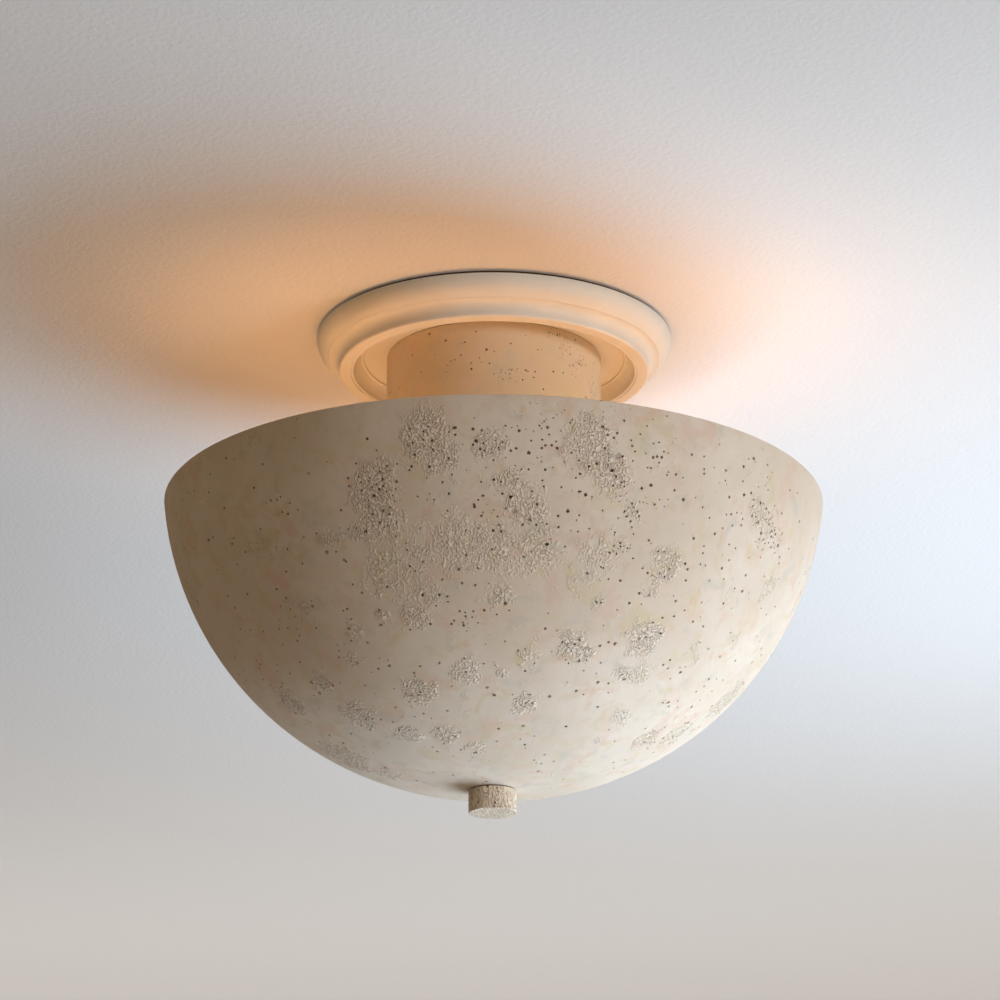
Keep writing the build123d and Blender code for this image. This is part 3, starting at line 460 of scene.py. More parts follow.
class Outline:
    """A pen that draws half a section in the XZ plane, for a round piece."""

    def __init__(self, r, z):
        self.bm = bmesh.new()
        self.start = self.tip = self.bm.verts.new((r, 0, z))

    def line(self, r, z, steps=1):
        start, end = self.tip.co.copy(), Vector((r, 0, z))
        for step in range(1, steps + 1):
            self.tip = bmesh.ops.extrude_vert_indiv(self.bm, verts=[self.tip])["verts"][0]
            self.tip.co = start.lerp(end, step / steps)
        return self

    def round(self, centre_r, centre_z, r, z, steps):
        """The shorter arc round a centre, to a point."""
        turn = (atan2(z - centre_z, r - centre_r)
                - atan2(self.tip.co.z - centre_z, self.tip.co.x - centre_r) + pi) % tau - pi
        spun = bmesh.ops.spin(self.bm, geom=[self.tip], cent=(centre_r, 0, centre_z), axis=(0, -1, 0),
                              angle=turn, steps=steps)
        self.tip = spun["geom_last"][0]
        self.tip.co = (r, 0, z)
        return self

    def upright(self, r, z, steps):
        """An arc that leaves the tip straight up or down."""
        across, along = self.tip.co.x - r, self.tip.co.z - z
        radius = (across ** 2 + along ** 2) / (2 * across)
        return self.round(self.tip.co.x - radius, self.tip.co.z, r, z, steps)

    def bulge(self, r, z, sag, steps):
        """An arc whose middle leaves the straight line by sag, to the left of the pen's way."""
        start = self.tip.co
        half = hypot(r - start.x, z - start.z) / 2
        across, up = (r - start.x) / (2 * half), (z - start.z) / (2 * half)
        back = (half ** 2 - sag ** 2) / (2 * sag)
        centre_r = (r + start.x) / 2 + up * back
        centre_z = (z + start.z) / 2 - across * back
        return self.round(centre_r, centre_z, r, z, steps)

    def close(self):
        self.bm.edges.new((self.tip, self.start))
        return self

    def turned(self, steps):
        """The section turned a full turn round the Z axis."""
        bmesh.ops.spin(self.bm, geom=self.bm.verts[:] + self.bm.edges[:], cent=(0, 0, 0), axis=(0, 0, 1),
                       angle=tau, steps=steps, use_merge=True)
        return cleaned(self.bm)

    def threaded(self, pitch, turns, steps):
        """One pitch of a thread's section, turned into a screw round the Z axis."""
        bmesh.ops.spin(self.bm, geom=self.bm.verts[:] + self.bm.edges[:], cent=(0, 0, 0), axis=(0, 0, 1),
                       dvec=(0, 0, pitch / steps), angle=tau, steps=steps)
        one_turn = self.bm.verts[:] + self.bm.edges[:] + self.bm.faces[:]
        for turn in range(1, turns):
            copied = bmesh.ops.duplicate(self.bm, geom=one_turn)["geom"]
            verts = [part for part in copied if isinstance(part, bmesh.types.BMVert)]
            bmesh.ops.translate(self.bm, verts=verts, vec=(0, 0, pitch * turn))
        return cleaned(self.bm)


def cleaned(bm):
    bmesh.ops.remove_doubles(bm, verts=bm.verts, dist=0.002 * MM)
    bmesh.ops.recalc_face_normals(bm, faces=bm.faces)
    return bm


def shaded(bm, sharp=32):
    """Smooth faces, with a crease at each edge sharper than the angle."""
    for face in bm.faces:
        face.smooth = True
    for edge in bm.edges:
        if len(edge.link_faces) == 2 and edge.calc_face_angle(0.0) > radians(sharp):
            edge.smooth = False
    return bm


def linked(name, data):
    """A new object in the scene, at the origin."""
    made = bpy.data.objects.new(name, data)
    bpy.context.scene.collection.objects.link(made)
    return made


def solid(name, bm, material):
    """A new object that holds a mesh."""
    mesh = bpy.data.meshes.new(name)
    bm.to_mesh(mesh)
    bm.free()
    mesh.materials.append(material)
    return linked(name, mesh)


def piece(name, bm, material, body, stands_for=()):
    """Ends a mesh as a piece that rides on a body."""
    made = solid(name, bm, material)
    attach(made, body)
    if stands_for:
        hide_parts(*stands_for)
    return made


def axis_place(number):
    """From the bulb's own frame, with Z out along its axis, to its place in the light."""
    joint = joints[f"bulb_{number}_unscrew"]
    along = Vector(joint["axis"]).normalized()
    side = Vector((0, 0, 1)).cross(along).normalized()
    turn = Matrix((side, along.cross(side), along)).transposed().to_4x4()
    return Matrix.Translation(joint["pos_m"]) @ turn


def numbered(name, number, bm, material, body, node=None, sharp=32):
    """Ends a mesh that is drawn in a bulb's own frame as one of three like pieces."""
    bmesh.ops.transform(bm, matrix=axis_place(number), verts=bm.verts)
    stands_for = [f"{node}_{number}"] if node else ()
    piece(f"{name}_{number}", shaded(bm, sharp), material, body, stands_for)


def hollowed(bm, chosen, layer):
    """Opens a round pit at each chosen vertex, and sets layer to 1 inside it, where the stone finish paints
    shade. chosen maps a radius to its vertices.
    """
    width = bm.faces.layers.float.new("width")
    mouths = []
    for radius, verts in chosen.items():
        made = bmesh.ops.bevel(bm, geom=verts, offset=radius, offset_type="OFFSET", affect="VERTICES",
                               segments=2 if radius > PIT_ROUND else 1, profile=0.5, material=-1,
                               clamp_overlap=True)
        for face in made["faces"]:
            face[width] = radius
        mouths += made["faces"]
    for share, depth in PIT_STEPS:
        mouths = bmesh.ops.extrude_discrete_faces(bm, faces=mouths)["faces"]
        for face in mouths:
            centre, inwards = face.calc_center_median(), -face.normal
            for vert in face.verts:
                vert.co = centre + (vert.co - centre) * share + inwards * face[width] * depth
                vert[layer] = 1.0
    bm.faces.layers.float.remove(width)


def snapped(value, sizes):
    return min(sizes, key=lambda size: abs(size - value))


class Patches:
    """Rough patches of a stone surface: centre, radius, strength of the pits and of the ripples."""

    def __init__(self, patches):
        self.patches = patches
        self.reach = PATCH_REACH * max(radius for centre, radius, pit, ripple in patches)
        self.near = KDTree(len(patches))
        for number, (centre, radius, pit, ripple) in enumerate(patches):
            self.near.insert(centre, number)
        self.near.balance()

    def masks(self, point):
        """Strength of the pits and of the ripples at a point."""
        pits = ripples = 0.0
        for centre, number, away in self.near.find_range(point, self.reach):
            centre, radius, pit, ripple = self.patches[number]
            far = away / radius + noise.noise(point / RAGGED_SIZE) * RAGGED_SHARE
            share = 1 - min(max((far - PATCH_CORE) / PATCH_FADE, 0), 1)
            pits = max(pits, share * pit)
            ripples = max(ripples, share * ripple)
        return pits, ripples


def choose_pits(bm, draw, strength, spacing, sizes, rate, known=()):
    """Vertices to open as pits, by radius, more of them where the strength is greater.

    spacing is the mesh's edge length and rate makes all pits larger or smaller. known gives places and
    radii of pits that are opened in any case."""
    chosen = {size: [] for size in sizes}
    taken = {}
    for spot, radius in known:
        vert = min(bm.verts, key=lambda vert: (vert.co - spot).length_squared)
        taken[vert] = snapped(radius, sizes)
        chosen[taken[vert]].append(vert)
    order = bm.verts[:]
    draw.shuffle(order)
    for vert in order:
        likely = strength(vert.co)
        size = snapped(min(draw.lognormvariate(*PIT_SPREAD), PIT_LARGEST) * MM * rate, sizes)
        if draw.random() > likely or vert.is_boundary or vert in taken:
            continue
        crowd = [taken[other] for edge in vert.link_edges for other in edge.verts if other in taken]
        if crowd and max(crowd) + size > spacing * PIT_ROOM:
            continue
        taken[vert] = size
        chosen[size].append(vert)
    return {size: verts for size, verts in chosen.items() if verts}


def from_bowl_arc(point):
    """Distance of a point from the centre of the bowl's arc, in the half section through the point."""
    return hypot(hypot(point.x, point.y) - bowl_offset, point.z - bowl_arc_z)


def arc_radius(arc, z):
    """Radius of the bowl's outside or lining at a height, from its arc."""
    return bowl_offset + sqrt(arc ** 2 - (z - bowl_arc_z) ** 2)


def bowl_point(azimuth, drop):
    """Point on the bowl's outside, by degrees from the front and drop below the rim."""
    z = bowl_high - drop
    r = arc_radius(bowl_arc, z)
    return Vector((r * sin(radians(azimuth)), -r * cos(radians(azimuth)), z))


def sight_at(across, down):
    """Direction from the camera through a pixel of the photograph."""
    sight = CAMERA_TURN @ Vector(((across - PHOTO_MIDDLE) / FOCAL, (PHOTO_SIZE / 2 - down) / FOCAL, -1))
    return sight.normalized()


def seen_on_cylinder(across, down, radius):
    """Point on the near side of the upright cylinder that shows at a pixel of the photograph."""
    sight, start = sight_at(across, down), CAMERA_PLACE.xy
    square, half = sight.xy.dot(sight.xy), sight.xy.dot(start)
    rest = start.dot(start) - radius ** 2
    return CAMERA_PLACE + sight * (-half - sqrt(half ** 2 - square * rest)) / square


def seen_on_bowl(across, down):
    """Point on the bowl's outside that shows at a pixel of the photograph, closed in on by halves."""
    sight = sight_at(across, down)
    middle = Vector((0, 0, bowl_arc_z))
    inside = (middle - CAMERA_PLACE).dot(sight)
    outside = inside - 2 * bowl_arc
    for halving in range(HALVINGS):
        half = (inside + outside) / 2
        point = CAMERA_PLACE + sight * half
        if from_bowl_arc(point) > bowl_arc:
            outside = half
        else:
            inside = half
    return point


def bowl_patches(draw):
    """The patches seen from the front, and others like them round the back."""
    patches = [(seen_on_bowl(across, down), radius * MM, pit, ripple)
               for across, down, radius, pit, ripple in BOWL_PATCHES]
    for count in range(BOWL_BACK_PATCHES):
        azimuth = draw.uniform(*BACK)
        drop = draw.uniform(10, 168)
        patches.append((bowl_point(azimuth, drop * MM), draw.uniform(7, 18) * MM,
                        draw.choice((0.1, 0.4, 0.7, 1.0)), draw.choice((0.1, 0.5, 0.9))))
    return patches


def set_masks(bm, strength):
    """Writes the pits and ripples masks that the stone finish reads."""
    layers = [bm.verts.layers.float.new(name) for name in ("pits", "ripples")]
    for vert in bm.verts:
        for layer, value in zip(layers, strength(vert.co)):
            vert[layer] = value


def bowl_outside(draw, edge_length):
    """The bowl's outside from rim to seat, cut from a ball of even triangles. Its vertices are jolted,
    so that the pits stand in no pattern."""
    bm = bmesh.new()
    bmesh.ops.create_icosphere(bm, subdivisions=7, radius=bowl_arc,
                               matrix=Matrix.Rotation(0.7, 4, (1, 0.3, 0.2)))
    rim_z, seat_z = bowl_high - bowl_edge - bowl_arc_z, bowl_low - bowl_arc_z
    for z, up in ((rim_z, 1), (seat_z, -1)):
        bmesh.ops.bisect_plane(bm, geom=bm.verts[:] + bm.edges[:] + bm.faces[:], plane_co=(0, 0, z),
                               plane_no=(0, 0, up), clear_outer=True, dist=0.3 * MM)
    for vert in bm.verts:
        jolt = Vector([draw.uniform(-1, 1) for axis in "XYZ"]) * 0.24 * edge_length
        direction = vert.co.normalized() if vert.is_boundary else (vert.co + jolt).normalized()
        level = Vector((direction.x, direction.y, 0)).normalized()
        vert.co = direction * bowl_arc + level * bowl_offset + Vector((0, 0, bowl_arc_z))
    return bm


def bowl_lining():
    """The bowl's inside, its floor and the wall of the pipe's hole."""
    rim_z = bowl_high - bowl_edge
    outline = Outline(arc_radius(lining_arc, rim_z), rim_z)
    outline.round(bowl_offset, bowl_arc_z, arc_radius(lining_arc, bowl_floor), bowl_floor, 44)
    outline.line(bowl_hole, bowl_floor, 4).line(bowl_hole, bowl_low)
    return outline.turned(192)


def add(bm, other):
    """Adds another mesh to a mesh."""
    mesh = bpy.data.meshes.new("added")
    other.to_mesh(mesh)
    other.free()
    bm.from_mesh(mesh)
    bpy.data.meshes.remove(mesh)


def open_edges(bm, low, high):
    """Edges with one face, between two heights."""
    return [edge for edge in bm.edges if edge.is_boundary and low < edge.verts[0].co.z < high]


def make_bowl(material):
    """Bowl, pitted outside and plain inside, with an eased rim."""
    draw = random.Random(11)
    edge_length = 3.8 * MM
    bm = bowl_outside(draw, edge_length)
    # Marks the inside of each pit, where the stone finish paints shade
    pit_shade = bm.verts.layers.float.new("pit_shade")
    masks = Patches(bowl_patches(draw)).masks
    plain_rim, fade, clouds = 8 * MM, 10 * MM, 70 * MM
    anywhere, in_clouds, in_patches = 0.015, 0.05, 0.5

    def likely(point):
        cloud = noise.noise(point / clouds) * 0.5 + 0.5
        below = min(max((bowl_high - plain_rim - point.z) / fade, 0), 1)
        return below * (anywhere + in_clouds * cloud ** 2 + in_patches * masks(point)[0])

    known = [(seen_on_bowl(across, down), radius * MM) for across, down, radius in BOWL_PITS]
    hollowed(bm, choose_pits(bm, draw, likely, edge_length, BOWL_PIT_SIZES, 1.05, known), pit_shade)
    under_rim, over_rim = bowl_high - 10 * MM, bowl_high + 1 * MM
    rim = open_edges(bm, under_rim, over_rim)
    add(bm, bowl_lining())
    for radius in (bowl_rim - bowl_edge, arc_radius(lining_arc, bowl_high - bowl_edge) + bowl_edge):
        rim = stepped(bm, rim, radius, bowl_high)
    rims = open_edges(bm, under_rim, over_rim)
    seats = open_edges(bm, bowl_low - 1 * MM, bowl_low + 1 * MM)
    bmesh.ops.bridge_loops(bm, edges=rims)
    bmesh.ops.bridge_loops(bm, edges=seats)
    bmesh.ops.recalc_face_normals(bm, faces=bm.faces)
    set_masks(bm, lambda point: masks(point) if on_bowl_outside(point) else (0.0, 0.0))
    piece("bowl_shell", shaded(bm), material, "bowl", ["bowl"])


def on_bowl_outside(point):
    return from_bowl_arc(point) > bowl_arc - bowl_skin and point.z < bowl_high - 1 * MM


def stepped(bm, edges, radius, height):
    """Draws a loop of edges on to another radius and height, and gives the new loop."""
    made = bmesh.ops.extrude_edge_only(bm, edges=edges)["geom"]
    for vert in made:
        if isinstance(vert, bmesh.types.BMVert):
            level = Vector((vert.co.x, vert.co.y, 0)).normalized()
            vert.co = level * radius + Vector((0, 0, height))
    return [edge for edge in made if isinstance(edge, bmesh.types.BMEdge)]


def make_cylinder(material):
    """Canopy cylinder, pitted like the bowl, in even rows of faces that are then jogged."""
    draw = random.Random(5)
    low, high = heights_of("canopy_cylinder")
    outer, inner, edge = radius_of("canopy_cylinder"), 60.2 * MM, 0.8 * MM
    skin, touch, anywhere, in_patches = 4 * MM, 0.1 * MM, 0.02, 0.14
    sides, rows, row_height, jog = 120, 30, 3.4 * MM, 0.25
    outline = Outline(outer - edge, high).line(outer, high - edge).line(outer, low + edge, rows)
    outline.line(outer - edge, low).line(inner, low).line(inner, high, 4).close()
    bm = outline.turned(sides)
    # Marks the inside of each pit, where the stone finish paints shade
    pit_shade = bm.verts.layers.float.new("pit_shade")
    patches = [(seen_on_cylinder(across, down, outer), radius * MM, pit, ripple)
               for across, down, radius, pit, ripple in CYLINDER_PATCHES]
    for count in range(CYLINDER_BACK_PATCHES):
        turn = radians(draw.uniform(*BACK))
        spot = Vector((outer * sin(turn), -outer * cos(turn), draw.uniform(low, high)))
        patches.append((spot, draw.uniform(7, 13) * MM,
                        draw.choice((0.2, 0.6, 0.9)), draw.choice((0.1, 0.3, 0.4))))
    patches = Patches(patches)

    def masks(point):
        return patches.masks(point) if hypot(point.x, point.y) > outer - skin else (0.0, 0.0)

    def likely(point):
        on_side = abs(hypot(point.x, point.y) - outer) <= touch and low + 3 * MM < point.z < high - 2.5 * MM
        return anywhere + in_patches * masks(point)[0] if on_side else 0.0

    for vert in bm.verts:
        if likely(vert.co) > 0:
            turn = Matrix.Rotation(draw.uniform(-jog, jog) * tau / sides, 3, "Z")
            vert.co = turn @ vert.co + Vector((0, 0, draw.uniform(-jog, jog) * row_height))
    known = [(seen_on_cylinder(across, down, outer), radius * MM) for across, down, radius in CYLINDER_PITS]
    hollowed(bm, choose_pits(bm, draw, likely, 3.5 * MM, CYLINDER_PIT_SIZES, 0.85, known), pit_shade)
    bmesh.ops.recalc_face_normals(bm, faces=bm.faces)
    set_masks(bm, masks)
    piece("canopy_sleeve", shaded(bm), material, "root", ["canopy_cylinder"])


def make_finial(material):
    """Finial, with small pits in its side and underside, and a pocket for its insert."""
    draw = random.Random(3)
    low, high = heights_of("finial")
    outer, edge, pocket, pocket_end = radius_of("finial"), 0.5 * MM, 7.55 * MM, high - 11 * MM
    margin, touch = 1.2 * MM, 0.1 * MM
    outline = Outline(0, low).line(outer - edge, low, 9).line(outer, low + edge)
    outline.line(outer, high - edge / 2, 10).line(outer - edge / 2, high)
    outline.line(pocket, high).line(pocket, pocket_end).line(0, pocket_end)
    bm = outline.turned(72)
    # Marks the inside of each pit, where the stone finish paints shade
    pit_shade = bm.verts.layers.float.new("pit_shade")

    def likely(point):
        away = hypot(point.x, point.y)
        side = abs(away - outer) < touch and low + margin < point.z < high - margin
        under = abs(point.z - low) < touch and 3 * MM < away < outer - 1.5 * MM
        return 0.06 if side else 0.03 if under else 0.0

    hollowed(bm, choose_pits(bm, draw, likely, 1.2 * MM, FINIAL_PIT_SIZES, 0.4), pit_shade)
    bmesh.ops.recalc_face_normals(bm, faces=bm.faces)
    set_masks(bm, lambda point: (0.5, 0.6))
    piece("finial_knob", shaded(bm), material, "finial", ["finial"])


def make_ring(material):
    """Moulded canopy ring, from its lip in over the two curves, the ridge and the cove to the plate."""
    outline = Outline(ring_outer - ring_edge, ring_high).line(ring_outer, ring_high - ring_edge)
    outline.line(ring_outer, ring_high - ring_lip)
    outline.upright(face_line + face_step, ring_plate + face_step, 22)
    outline.line(face_line, ring_plate)
    cavetto_low = ring_low + ridge_round + ridge_wall
    across, along = face_line - ridge_outer, ring_plate - cavetto_low
    radius = (across ** 2 + along ** 2) / (2 * across)
    outline.round(ridge_outer + radius, cavetto_low, ridge_outer, cavetto_low, 18)
    outline.line(ridge_outer, ring_low + ridge_round)
    outline.upright(ridge_outer - ridge_round, ring_low, 8)
    bead_r, bead_z = ridge_inner + ridge_bead, ring_low + ridge_bead
    outline.line(ridge_inner + 2 * ridge_bead, ring_low, 3).line(ridge_inner + 2 * ridge_bead, bead_z)
    outline.round(bead_r, bead_z, bead_r, ring_low, 5).round(bead_r, bead_z, ridge_inner, bead_z, 5)
    bead_r, bead_z = recess + plate_bead, ring_plate - plate_bead
    outline.bulge(recess + 2 * plate_bead, bead_z, -cove_sag, 12)
    outline.round(bead_r, bead_z, bead_r, ring_plate - 2 * plate_bead, 5)
    outline.round(bead_r, bead_z, recess, bead_z, 5)
    outline.line(recess, ring_plate).line(spigot_outer, ring_plate, 3)
    outline.line(spigot_outer, ring_plate - spigot_drop).line(spigot_inner, ring_plate - spigot_drop)
    outline.line(spigot_inner, ring_plate).line(wiring_hole, ring_plate)
    plate_back = ring_plate + plate_thickness
    outline.line(wiring_hole, plate_back).line(back_recess, plate_back, 3)
    outline.line(back_recess, ring_high).close()
    piece("moulded_ring", shaded(outline.turned(224)), material, "root", ["canopy_ring"])


def make_gasket(material):
    """Foam gasket with rounded outer edges."""
    low, high = heights_of("ceiling_gasket")
    outer, width, edge = radius_of("ceiling_gasket"), 14 * MM, 0.4 * MM
    inner, flat = outer - width, outer - edge
    outline = Outline(inner, low).line(flat, low)
    outline.round(flat, low + edge, outer, low + edge, 4).line(outer, high - edge)
    outline.round(flat, high - edge, flat, high, 4).line(inner, high).close()
    piece("foam_gasket", shaded(outline.turned(160)), material, "root", ["ceiling_gasket"])


def make_pipe(material):
    """Centre pipe with its thread cut all the way."""
    low, high = heights_of("centre_pipe")
    crest, root, bore, pitch = radius_of("centre_pipe"), 4.45 * MM, 3.4 * MM, 1.0 * MM
    turns = int((high - low) / pitch) - 2
    thread = Outline(root, low + pitch * 0.5).line(crest, low + pitch * 0.95).line(crest, low + pitch * 1.05)
    thread.line(root, low + pitch * 1.5)
    piece("pipe_thread", shaded(thread.threaded(pitch, turns, 20), 70), material, "root")
    wall = root + 0.02 * MM
    core = Outline(bore, low).line(wall, low).line(wall, high).line(bore, high).close()
    piece("pipe_core", shaded(core.turned(40)), material, "root", ["centre_pipe"])


def make_bulb(number, plastic, globe, aluminium):
    """Globe, body and screw cap of one bulb, on the axis of its lampholder."""
    body = f"bulb_{number}"
    dome, dome_r, shoulder_r = 94.3 * MM, 30 * MM, 26 * MM
    shoulder = dome - sqrt(dome_r ** 2 - shoulder_r ** 2)
    skin = Outline(shoulder_r - 1.6 * MM, shoulder).line(shoulder_r, shoulder)
    skin.round(0, dome, dome_r, dome, 10).round(0, dome, 0, dome + dome_r, 28)
    numbered("globe", number, skin.turned(64), globe, body, "bulb_globe")
    cap_low, cap_end, crest, root = 17.1 * MM, 43.5 * MM, 13.05 * MM, 12.5 * MM
    cap_inner = crest - 0.6 * MM
    neck, plug = 14.2 * MM, cap_inner - 0.05 * MM
    stem = Outline(0, cap_low).line(plug, cap_low).line(plug, cap_end).line(neck - 0.8 * MM, cap_end)
    stem.line(neck, cap_end + 0.8 * MM)
    stem.bulge(shoulder_r - 0.5 * MM, shoulder - 0.5 * MM, 1.9 * MM, 20)
    stem.line(shoulder_r, shoulder - 0.2 * MM).line(shoulder_r, shoulder).line(0, shoulder)
    numbered("housing", number, stem.turned(64), plastic, body, "bulb_body")
    base, middle, sag = cap_low + 1.2 * MM, (crest + root) / 2, 0.12 * MM
    wave = Outline(root, base).bulge(middle, base + SCREW_PITCH / 4, -sag, 3)
    wave.bulge(crest, base + SCREW_PITCH / 2, sag, 3).bulge(middle, base + SCREW_PITCH * 0.75, sag, 3)
    wave.bulge(root, base + SCREW_PITCH, -sag, 3)
    screw = wave.threaded(SCREW_PITCH, SCREW_TURNS, 40)
    numbered("cap_thread", number, screw, aluminium, body, sharp=60)
    opening, end = 5.9 * MM, 16.5 * MM
    shell = Outline(opening, end).line(cap_inner, end).line(root, cap_low)
    shell.line(root, cap_end - 1.6 * MM).line(crest, cap_end - 1.2 * MM).line(crest, cap_end)
    shell.line(cap_inner, cap_end).line(cap_inner, cap_low).line(opening, cap_low).close()
    numbered("cap_shell", number, shell.turned(48), aluminium, body, "bulb_cap")


def make_socket(number, porcelain, brass):
    """Porcelain lampholder with rounded edges, and the threaded shell inside it."""
    outer, length, floor, bore = 18 * MM, 42 * MM, 14 * MM, 14.3 * MM
    nipple, nipple_end, mouth_edge, outer_edge = 5.05 * MM, 6 * MM, 0.6 * MM, 1.6 * MM
    cup = Outline(nipple, 0).line(outer - 2.4 * MM, 0)
    cup.round(outer - 2.4 * MM, 0.4 * MM, outer - 2 * MM, 0.4 * MM, 4)
    cup.line(outer - 0.3 * MM, 2.6 * MM).bulge(outer, 3.6 * MM, 0.1 * MM, 4)
    for groove in (13, 15, 17):
        cup.line(outer, (groove - 0.5) * MM).bulge(outer, (groove + 0.5) * MM, -0.35 * MM, 5)
    cup.line(outer, length - outer_edge)
    cup.round(outer - outer_edge, length - outer_edge, outer - outer_edge, length, 8)
    cup.line(bore + mouth_edge, length)
    cup.round(bore + mouth_edge, length - mouth_edge, bore, length - mouth_edge, 5)
    cup.line(bore, floor).line(0, floor).line(0, nipple_end).line(nipple, nipple_end).close()
    numbered("porcelain", number, cup.turned(72), porcelain, "root", "lampholder")
    base, wide = floor + 2 * MM, 13.9 * MM
    wave = Outline(wide, base).bulge(wide - 0.45 * MM, base + SCREW_PITCH / 2, 0.1 * MM, 4)
    wave.bulge(wide, base + SCREW_PITCH, 0.1 * MM, 4)
    screw = wave.threaded(SCREW_PITCH, SCREW_TURNS, 36)
    numbered("shell_thread", number, screw, brass, "root", sharp=60)
    sheet, top, opening, wall, inner = floor + 0.5 * MM, floor + 24 * MM, 8 * MM, 0.3 * MM, wide - 0.02 * MM
    rim = Outline(opening, floor).line(wide, floor).line(wide, top)
    rim.line(wide - wall, top).line(wide - wall, floor + 20.6 * MM).line(inner, floor + 20.4 * MM)
    rim.line(inner, sheet).line(opening, sheet).close()
    numbered("shell_rim", number, rim.turned(64), brass, "root", "screw_shell")


def refined(node, material, body, slot, width=0.2 * MM):
    """A CAD piece as it is, with its edges eased to a width."""
    bm = bmesh.new()
    bm.from_mesh(nodes[node].data)
    bmesh.ops.remove_doubles(bm, verts=bm.verts, dist=0.001 * MM)
    bmesh.ops.dissolve_limit(bm, angle_limit=radians(0.5), verts=bm.verts, edges=bm.edges)
    made = piece(node + "_finished", shaded(bm, 28), material, body, [node])
    if width:
        easing = made.modifiers.new("eased edges", "BEVEL")
        easing.width = width
        easing.segments = 2
        easing.limit_method = "ANGLE"
        easing.angle_limit = radians(40)
        easing.harden_normals = True


def plane(name, half, z, facing, material):
    """A level square of the stage that faces up or down."""
    bm = bmesh.new()
    bmesh.ops.create_grid(bm, x_segments=1, y_segments=1, size=half)
    bmesh.ops.translate(bm, verts=bm.verts, vec=(0, 0, z))
    if facing < 0:
        bmesh.ops.reverse_faces(bm, faces=bm.faces)
    solid(name, bm, material)


def ceiling_paint():
    """Painted ceiling, seen only from below, with painted light in the backdrop's colour that makes it paler
    far behind. It lets all light through to the object.
    """
    finish = Finish("ceiling_paint")
    pebbled = finish.noise(3.5 * MM, 3.0, 0.6)
    paint = finish.node("ShaderNodeBsdfDiffuse", values={
        "Color": (*CEILING, 1.0), "Normal": finish.bump(pebbled, 0.35 * MM)})
    apart = finish.node("ShaderNodeSeparateXYZ", values={"Vector": finish.place}, output="Y")
    # Painted light: the ceiling glows in the backdrop's colour, more strongly the farther behind it lies
    far_glow = finish.node("ShaderNodeEmission", values={
        "Color": (*BACKDROP, 1.0), "Strength": finish.ramp(apart, 0.3, 2.0, 0.0, 0.5)})
    lit = finish.node("ShaderNodeAddShader", values={0: paint, 1: far_glow})
    clear = finish.node("ShaderNodeBsdfTransparent")
    back = finish.node("ShaderNodeNewGeometry", output="Backfacing")
    shown = finish.seen() * (1 - back)
    return finish.show(finish.node("ShaderNodeMixShader", values={0: shown, 1: clear, 2: lit}))


def floor_paint():
    """Matte floor in a slightly uneven tone."""
    finish = Finish("floor_paint")
    cloudy = finish.mix(finish.noise(0.5, 3.0), FLOOR, tuple(0.94 * c for c in FLOOR))
    return finish.done(Base_Color=cloudy, Roughness=0.8)


def lamp(name, power, size, place, aim, colour):
    """A round lamp that the camera doesn't see."""
    data = bpy.data.lights.new(name, "AREA")
    data.energy = power
    data.shape = "DISK"
    data.size = size
    data.color = colour
    made = linked(name, data)
    made.location = place
    made.rotation_euler = (Vector(aim) - Vector(place)).to_track_quat("-Z", "Y").to_euler()
    made.visible_camera = False


def make_studio():
    """The world, which the camera sees as a plain backdrop, the ceiling, the floor and the lamps."""
    room = Finish("studio", bpy.data.worlds)
    light = room.node("ShaderNodeBackground", values={"Color": (*WORLD_COLOUR, 1.0), "Strength": WORLD})
    backdrop = room.node("ShaderNodeBackground", values={"Color": (*BACKDROP, 1.0), "Strength": 1.0})
    shared = room.node("ShaderNodeMixShader", values={0: room.seen(), 1: light, 2: backdrop})
    bpy.context.scene.world = room.show(shared, "ShaderNodeOutputWorld")
    plane("ceiling", CEILING_HALF, CEILING_Z, -1, ceiling_paint())
    plane("floor", FLOOR_HALF, FLOOR_Z, 1, floor_paint())
    for settings in LAMPS:
        lamp(*settings)


def make_camera():
    """The photograph's camera."""
    data = bpy.data.cameras.new("camera")
    data.sensor_width = 36.0
    data.lens = data.sensor_width * FOCAL / PHOTO_SIZE
    data.shift_x = (PHOTO_SIZE / 2 - PHOTO_MIDDLE) / PHOTO_SIZE
    made = linked("camera", data)
    made.matrix_world = Matrix.Translation(CAMERA_PLACE) @ CAMERA_TURN.to_4x4()
    bpy.context.scene.camera = made


make_camera()
make_studio()
stone = travertine("travertine", (0.65, 0.555, 0.455), (0.72, 0.64, 0.55))
# The canopy cylinder's stone: the travertine finish with warmer, more orange ground colours than the bowl's,
# which paint in part of the bulbs' warm glow on it
glow_tinted_stone = travertine("glow_tinted_travertine", (0.60, 0.48, 0.32), (0.68, 0.56, 0.40))
rough_stone = travertine("finial_travertine", (0.67, 0.56, 0.43), (0.76, 0.66, 0.53), grey=0.06, upright=0.40)
zinc = metal("zinc_plate", (0.62, 0.63, 0.64), (0.46, 0.47, 0.48), 0.30)
brass = metal("brass", (0.80, 0.58, 0.26), (0.62, 0.43, 0.19), 0.26)
make_bowl(stone)
make_cylinder(glow_tinted_stone)
make_finial(rough_stone)
make_ring(plaster("ring_paint", (0.75, 0.71, 0.645), (0.69, 0.64, 0.56)))
make_gasket(foam("gasket_foam"))
make_pipe(zinc)
porcelain = glazed("porcelain")
white_plastic = moulded("bulb_housing", (0.86, 0.85, 0.82), (0.80, 0.79, 0.75), 0.45)
frosted = lit_globe("frosted_globe")
aluminium = metal("cap_aluminium", (0.78, 0.78, 0.79), (0.62, 0.62, 0.63), 0.28)
board = circuit_board("led_board")
black_wire = moulded("black_insulation", (0.020, 0.020, 0.021), (0.030, 0.030, 0.030), 0.38)
white_wire = moulded("white_insulation", (0.80, 0.80, 0.77), (0.72, 0.72, 0.68), 0.38)
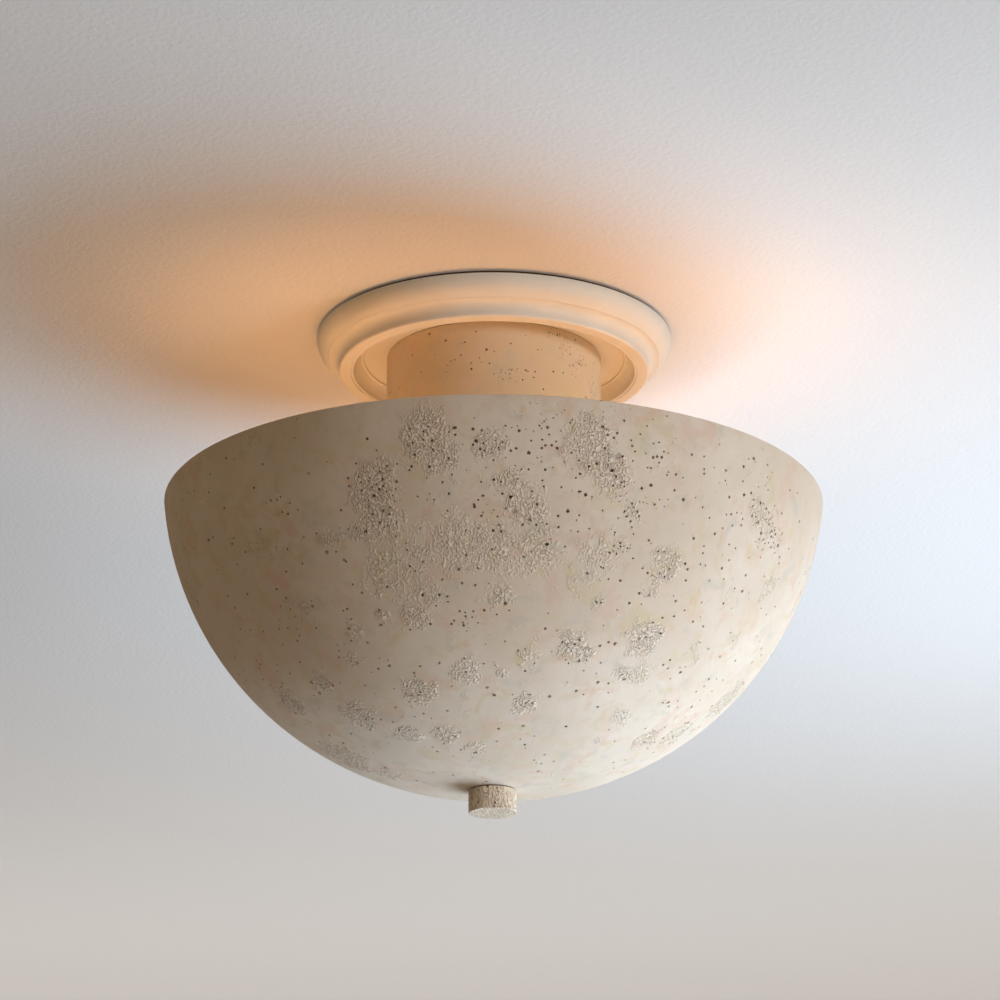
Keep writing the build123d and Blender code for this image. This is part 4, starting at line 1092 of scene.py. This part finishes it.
for number in bulb_numbers:
    make_socket(number, porcelain, brass)
    make_bulb(number, white_plastic, frosted, aluminium)
    refined(f"holder_bracket_{number}", zinc, "root", "zinc_steel", 0.25 * MM)
    refined(f"centre_contact_{number}", brass, "root", "socket_brass", 0)
    refined(f"bulb_tip_{number}", zinc, f"bulb_{number}_tip", "zinc_steel", 0)
    refined(f"led_board_{number}", board, f"bulb_{number}", "board_white", 0)
    refined(f"black_lead_{number}", black_wire, "root", "black_insulation", 0)
    refined(f"white_lead_{number}", white_wire, "root", "white_insulation", 0)
rubber = moulded("black_rubber", (0.020, 0.020, 0.020), (0.035, 0.034, 0.033), 0.70, 0.08 * MM)
orange = moulded("connector_plastic", (0.78, 0.22, 0.03), (0.70, 0.19, 0.03), 0.35)
green = metal("green_plate", (0.10, 0.34, 0.16), (0.07, 0.24, 0.11), 0.30)
copper = metal("bare_copper", (0.86, 0.42, 0.24), (0.66, 0.30, 0.17), 0.28)
tin = metal("tin_plate", (0.74, 0.73, 0.70), (0.60, 0.59, 0.57), 0.32)
enamel = plaster("plate_enamel", (0.82, 0.81, 0.78), (0.77, 0.76, 0.73))
silicone = moulded("pad_silicone", (0.70, 0.69, 0.65), (0.62, 0.61, 0.57), 0.55)
brown_rubber = moulded("washer_rubber", (0.11, 0.085, 0.06), (0.14, 0.11, 0.08), 0.75)
# The other pieces keep their CAD shapes: node, material, body and slot, and a 0 where edges stay sharp
others = (
    ("crossbar", zinc, "root", "zinc_steel"),
    ("crossbar_nut", zinc, "root", "zinc_steel"),
    ("ground_screw", green, "root", "green_screw"),
    ("ground_wire", copper, "root", "bare_copper", 0),
    ("ground_lug", tin, "root", "tinned_lug"),
    ("socket_plate", enamel, "root", "plate_white"),
    ("wire_grommets", rubber, "root", "black_rubber", 0),
    ("plate_washer", zinc, "root", "zinc_steel", 0),
    ("plate_nut", zinc, "root", "zinc_steel"),
    ("bracket_screws", zinc, "root", "zinc_steel"),
    ("bracket_nuts", zinc, "root", "zinc_steel"),
    ("holder_nipples", zinc, "root", "zinc_steel"),
    ("holder_nuts", zinc, "root", "zinc_steel"),
    ("black_connector", orange, "root", "connector_orange"),
    ("white_connector", orange, "root", "connector_orange"),
    ("stop_nuts", zinc, "root", "zinc_steel"),
    ("bowl_pad", silicone, "bowl", "pad_silicone"),
    ("bowl_plate", zinc, "bowl", "zinc_steel"),
    ("finial_washer", brown_rubber, "finial_washer", "black_rubber", 0),
    ("finial_insert", brass, "finial", "socket_brass"),
)
for other in others:
    refined(*other)

bpy.context.scene.view_settings.view_transform = "Standard"
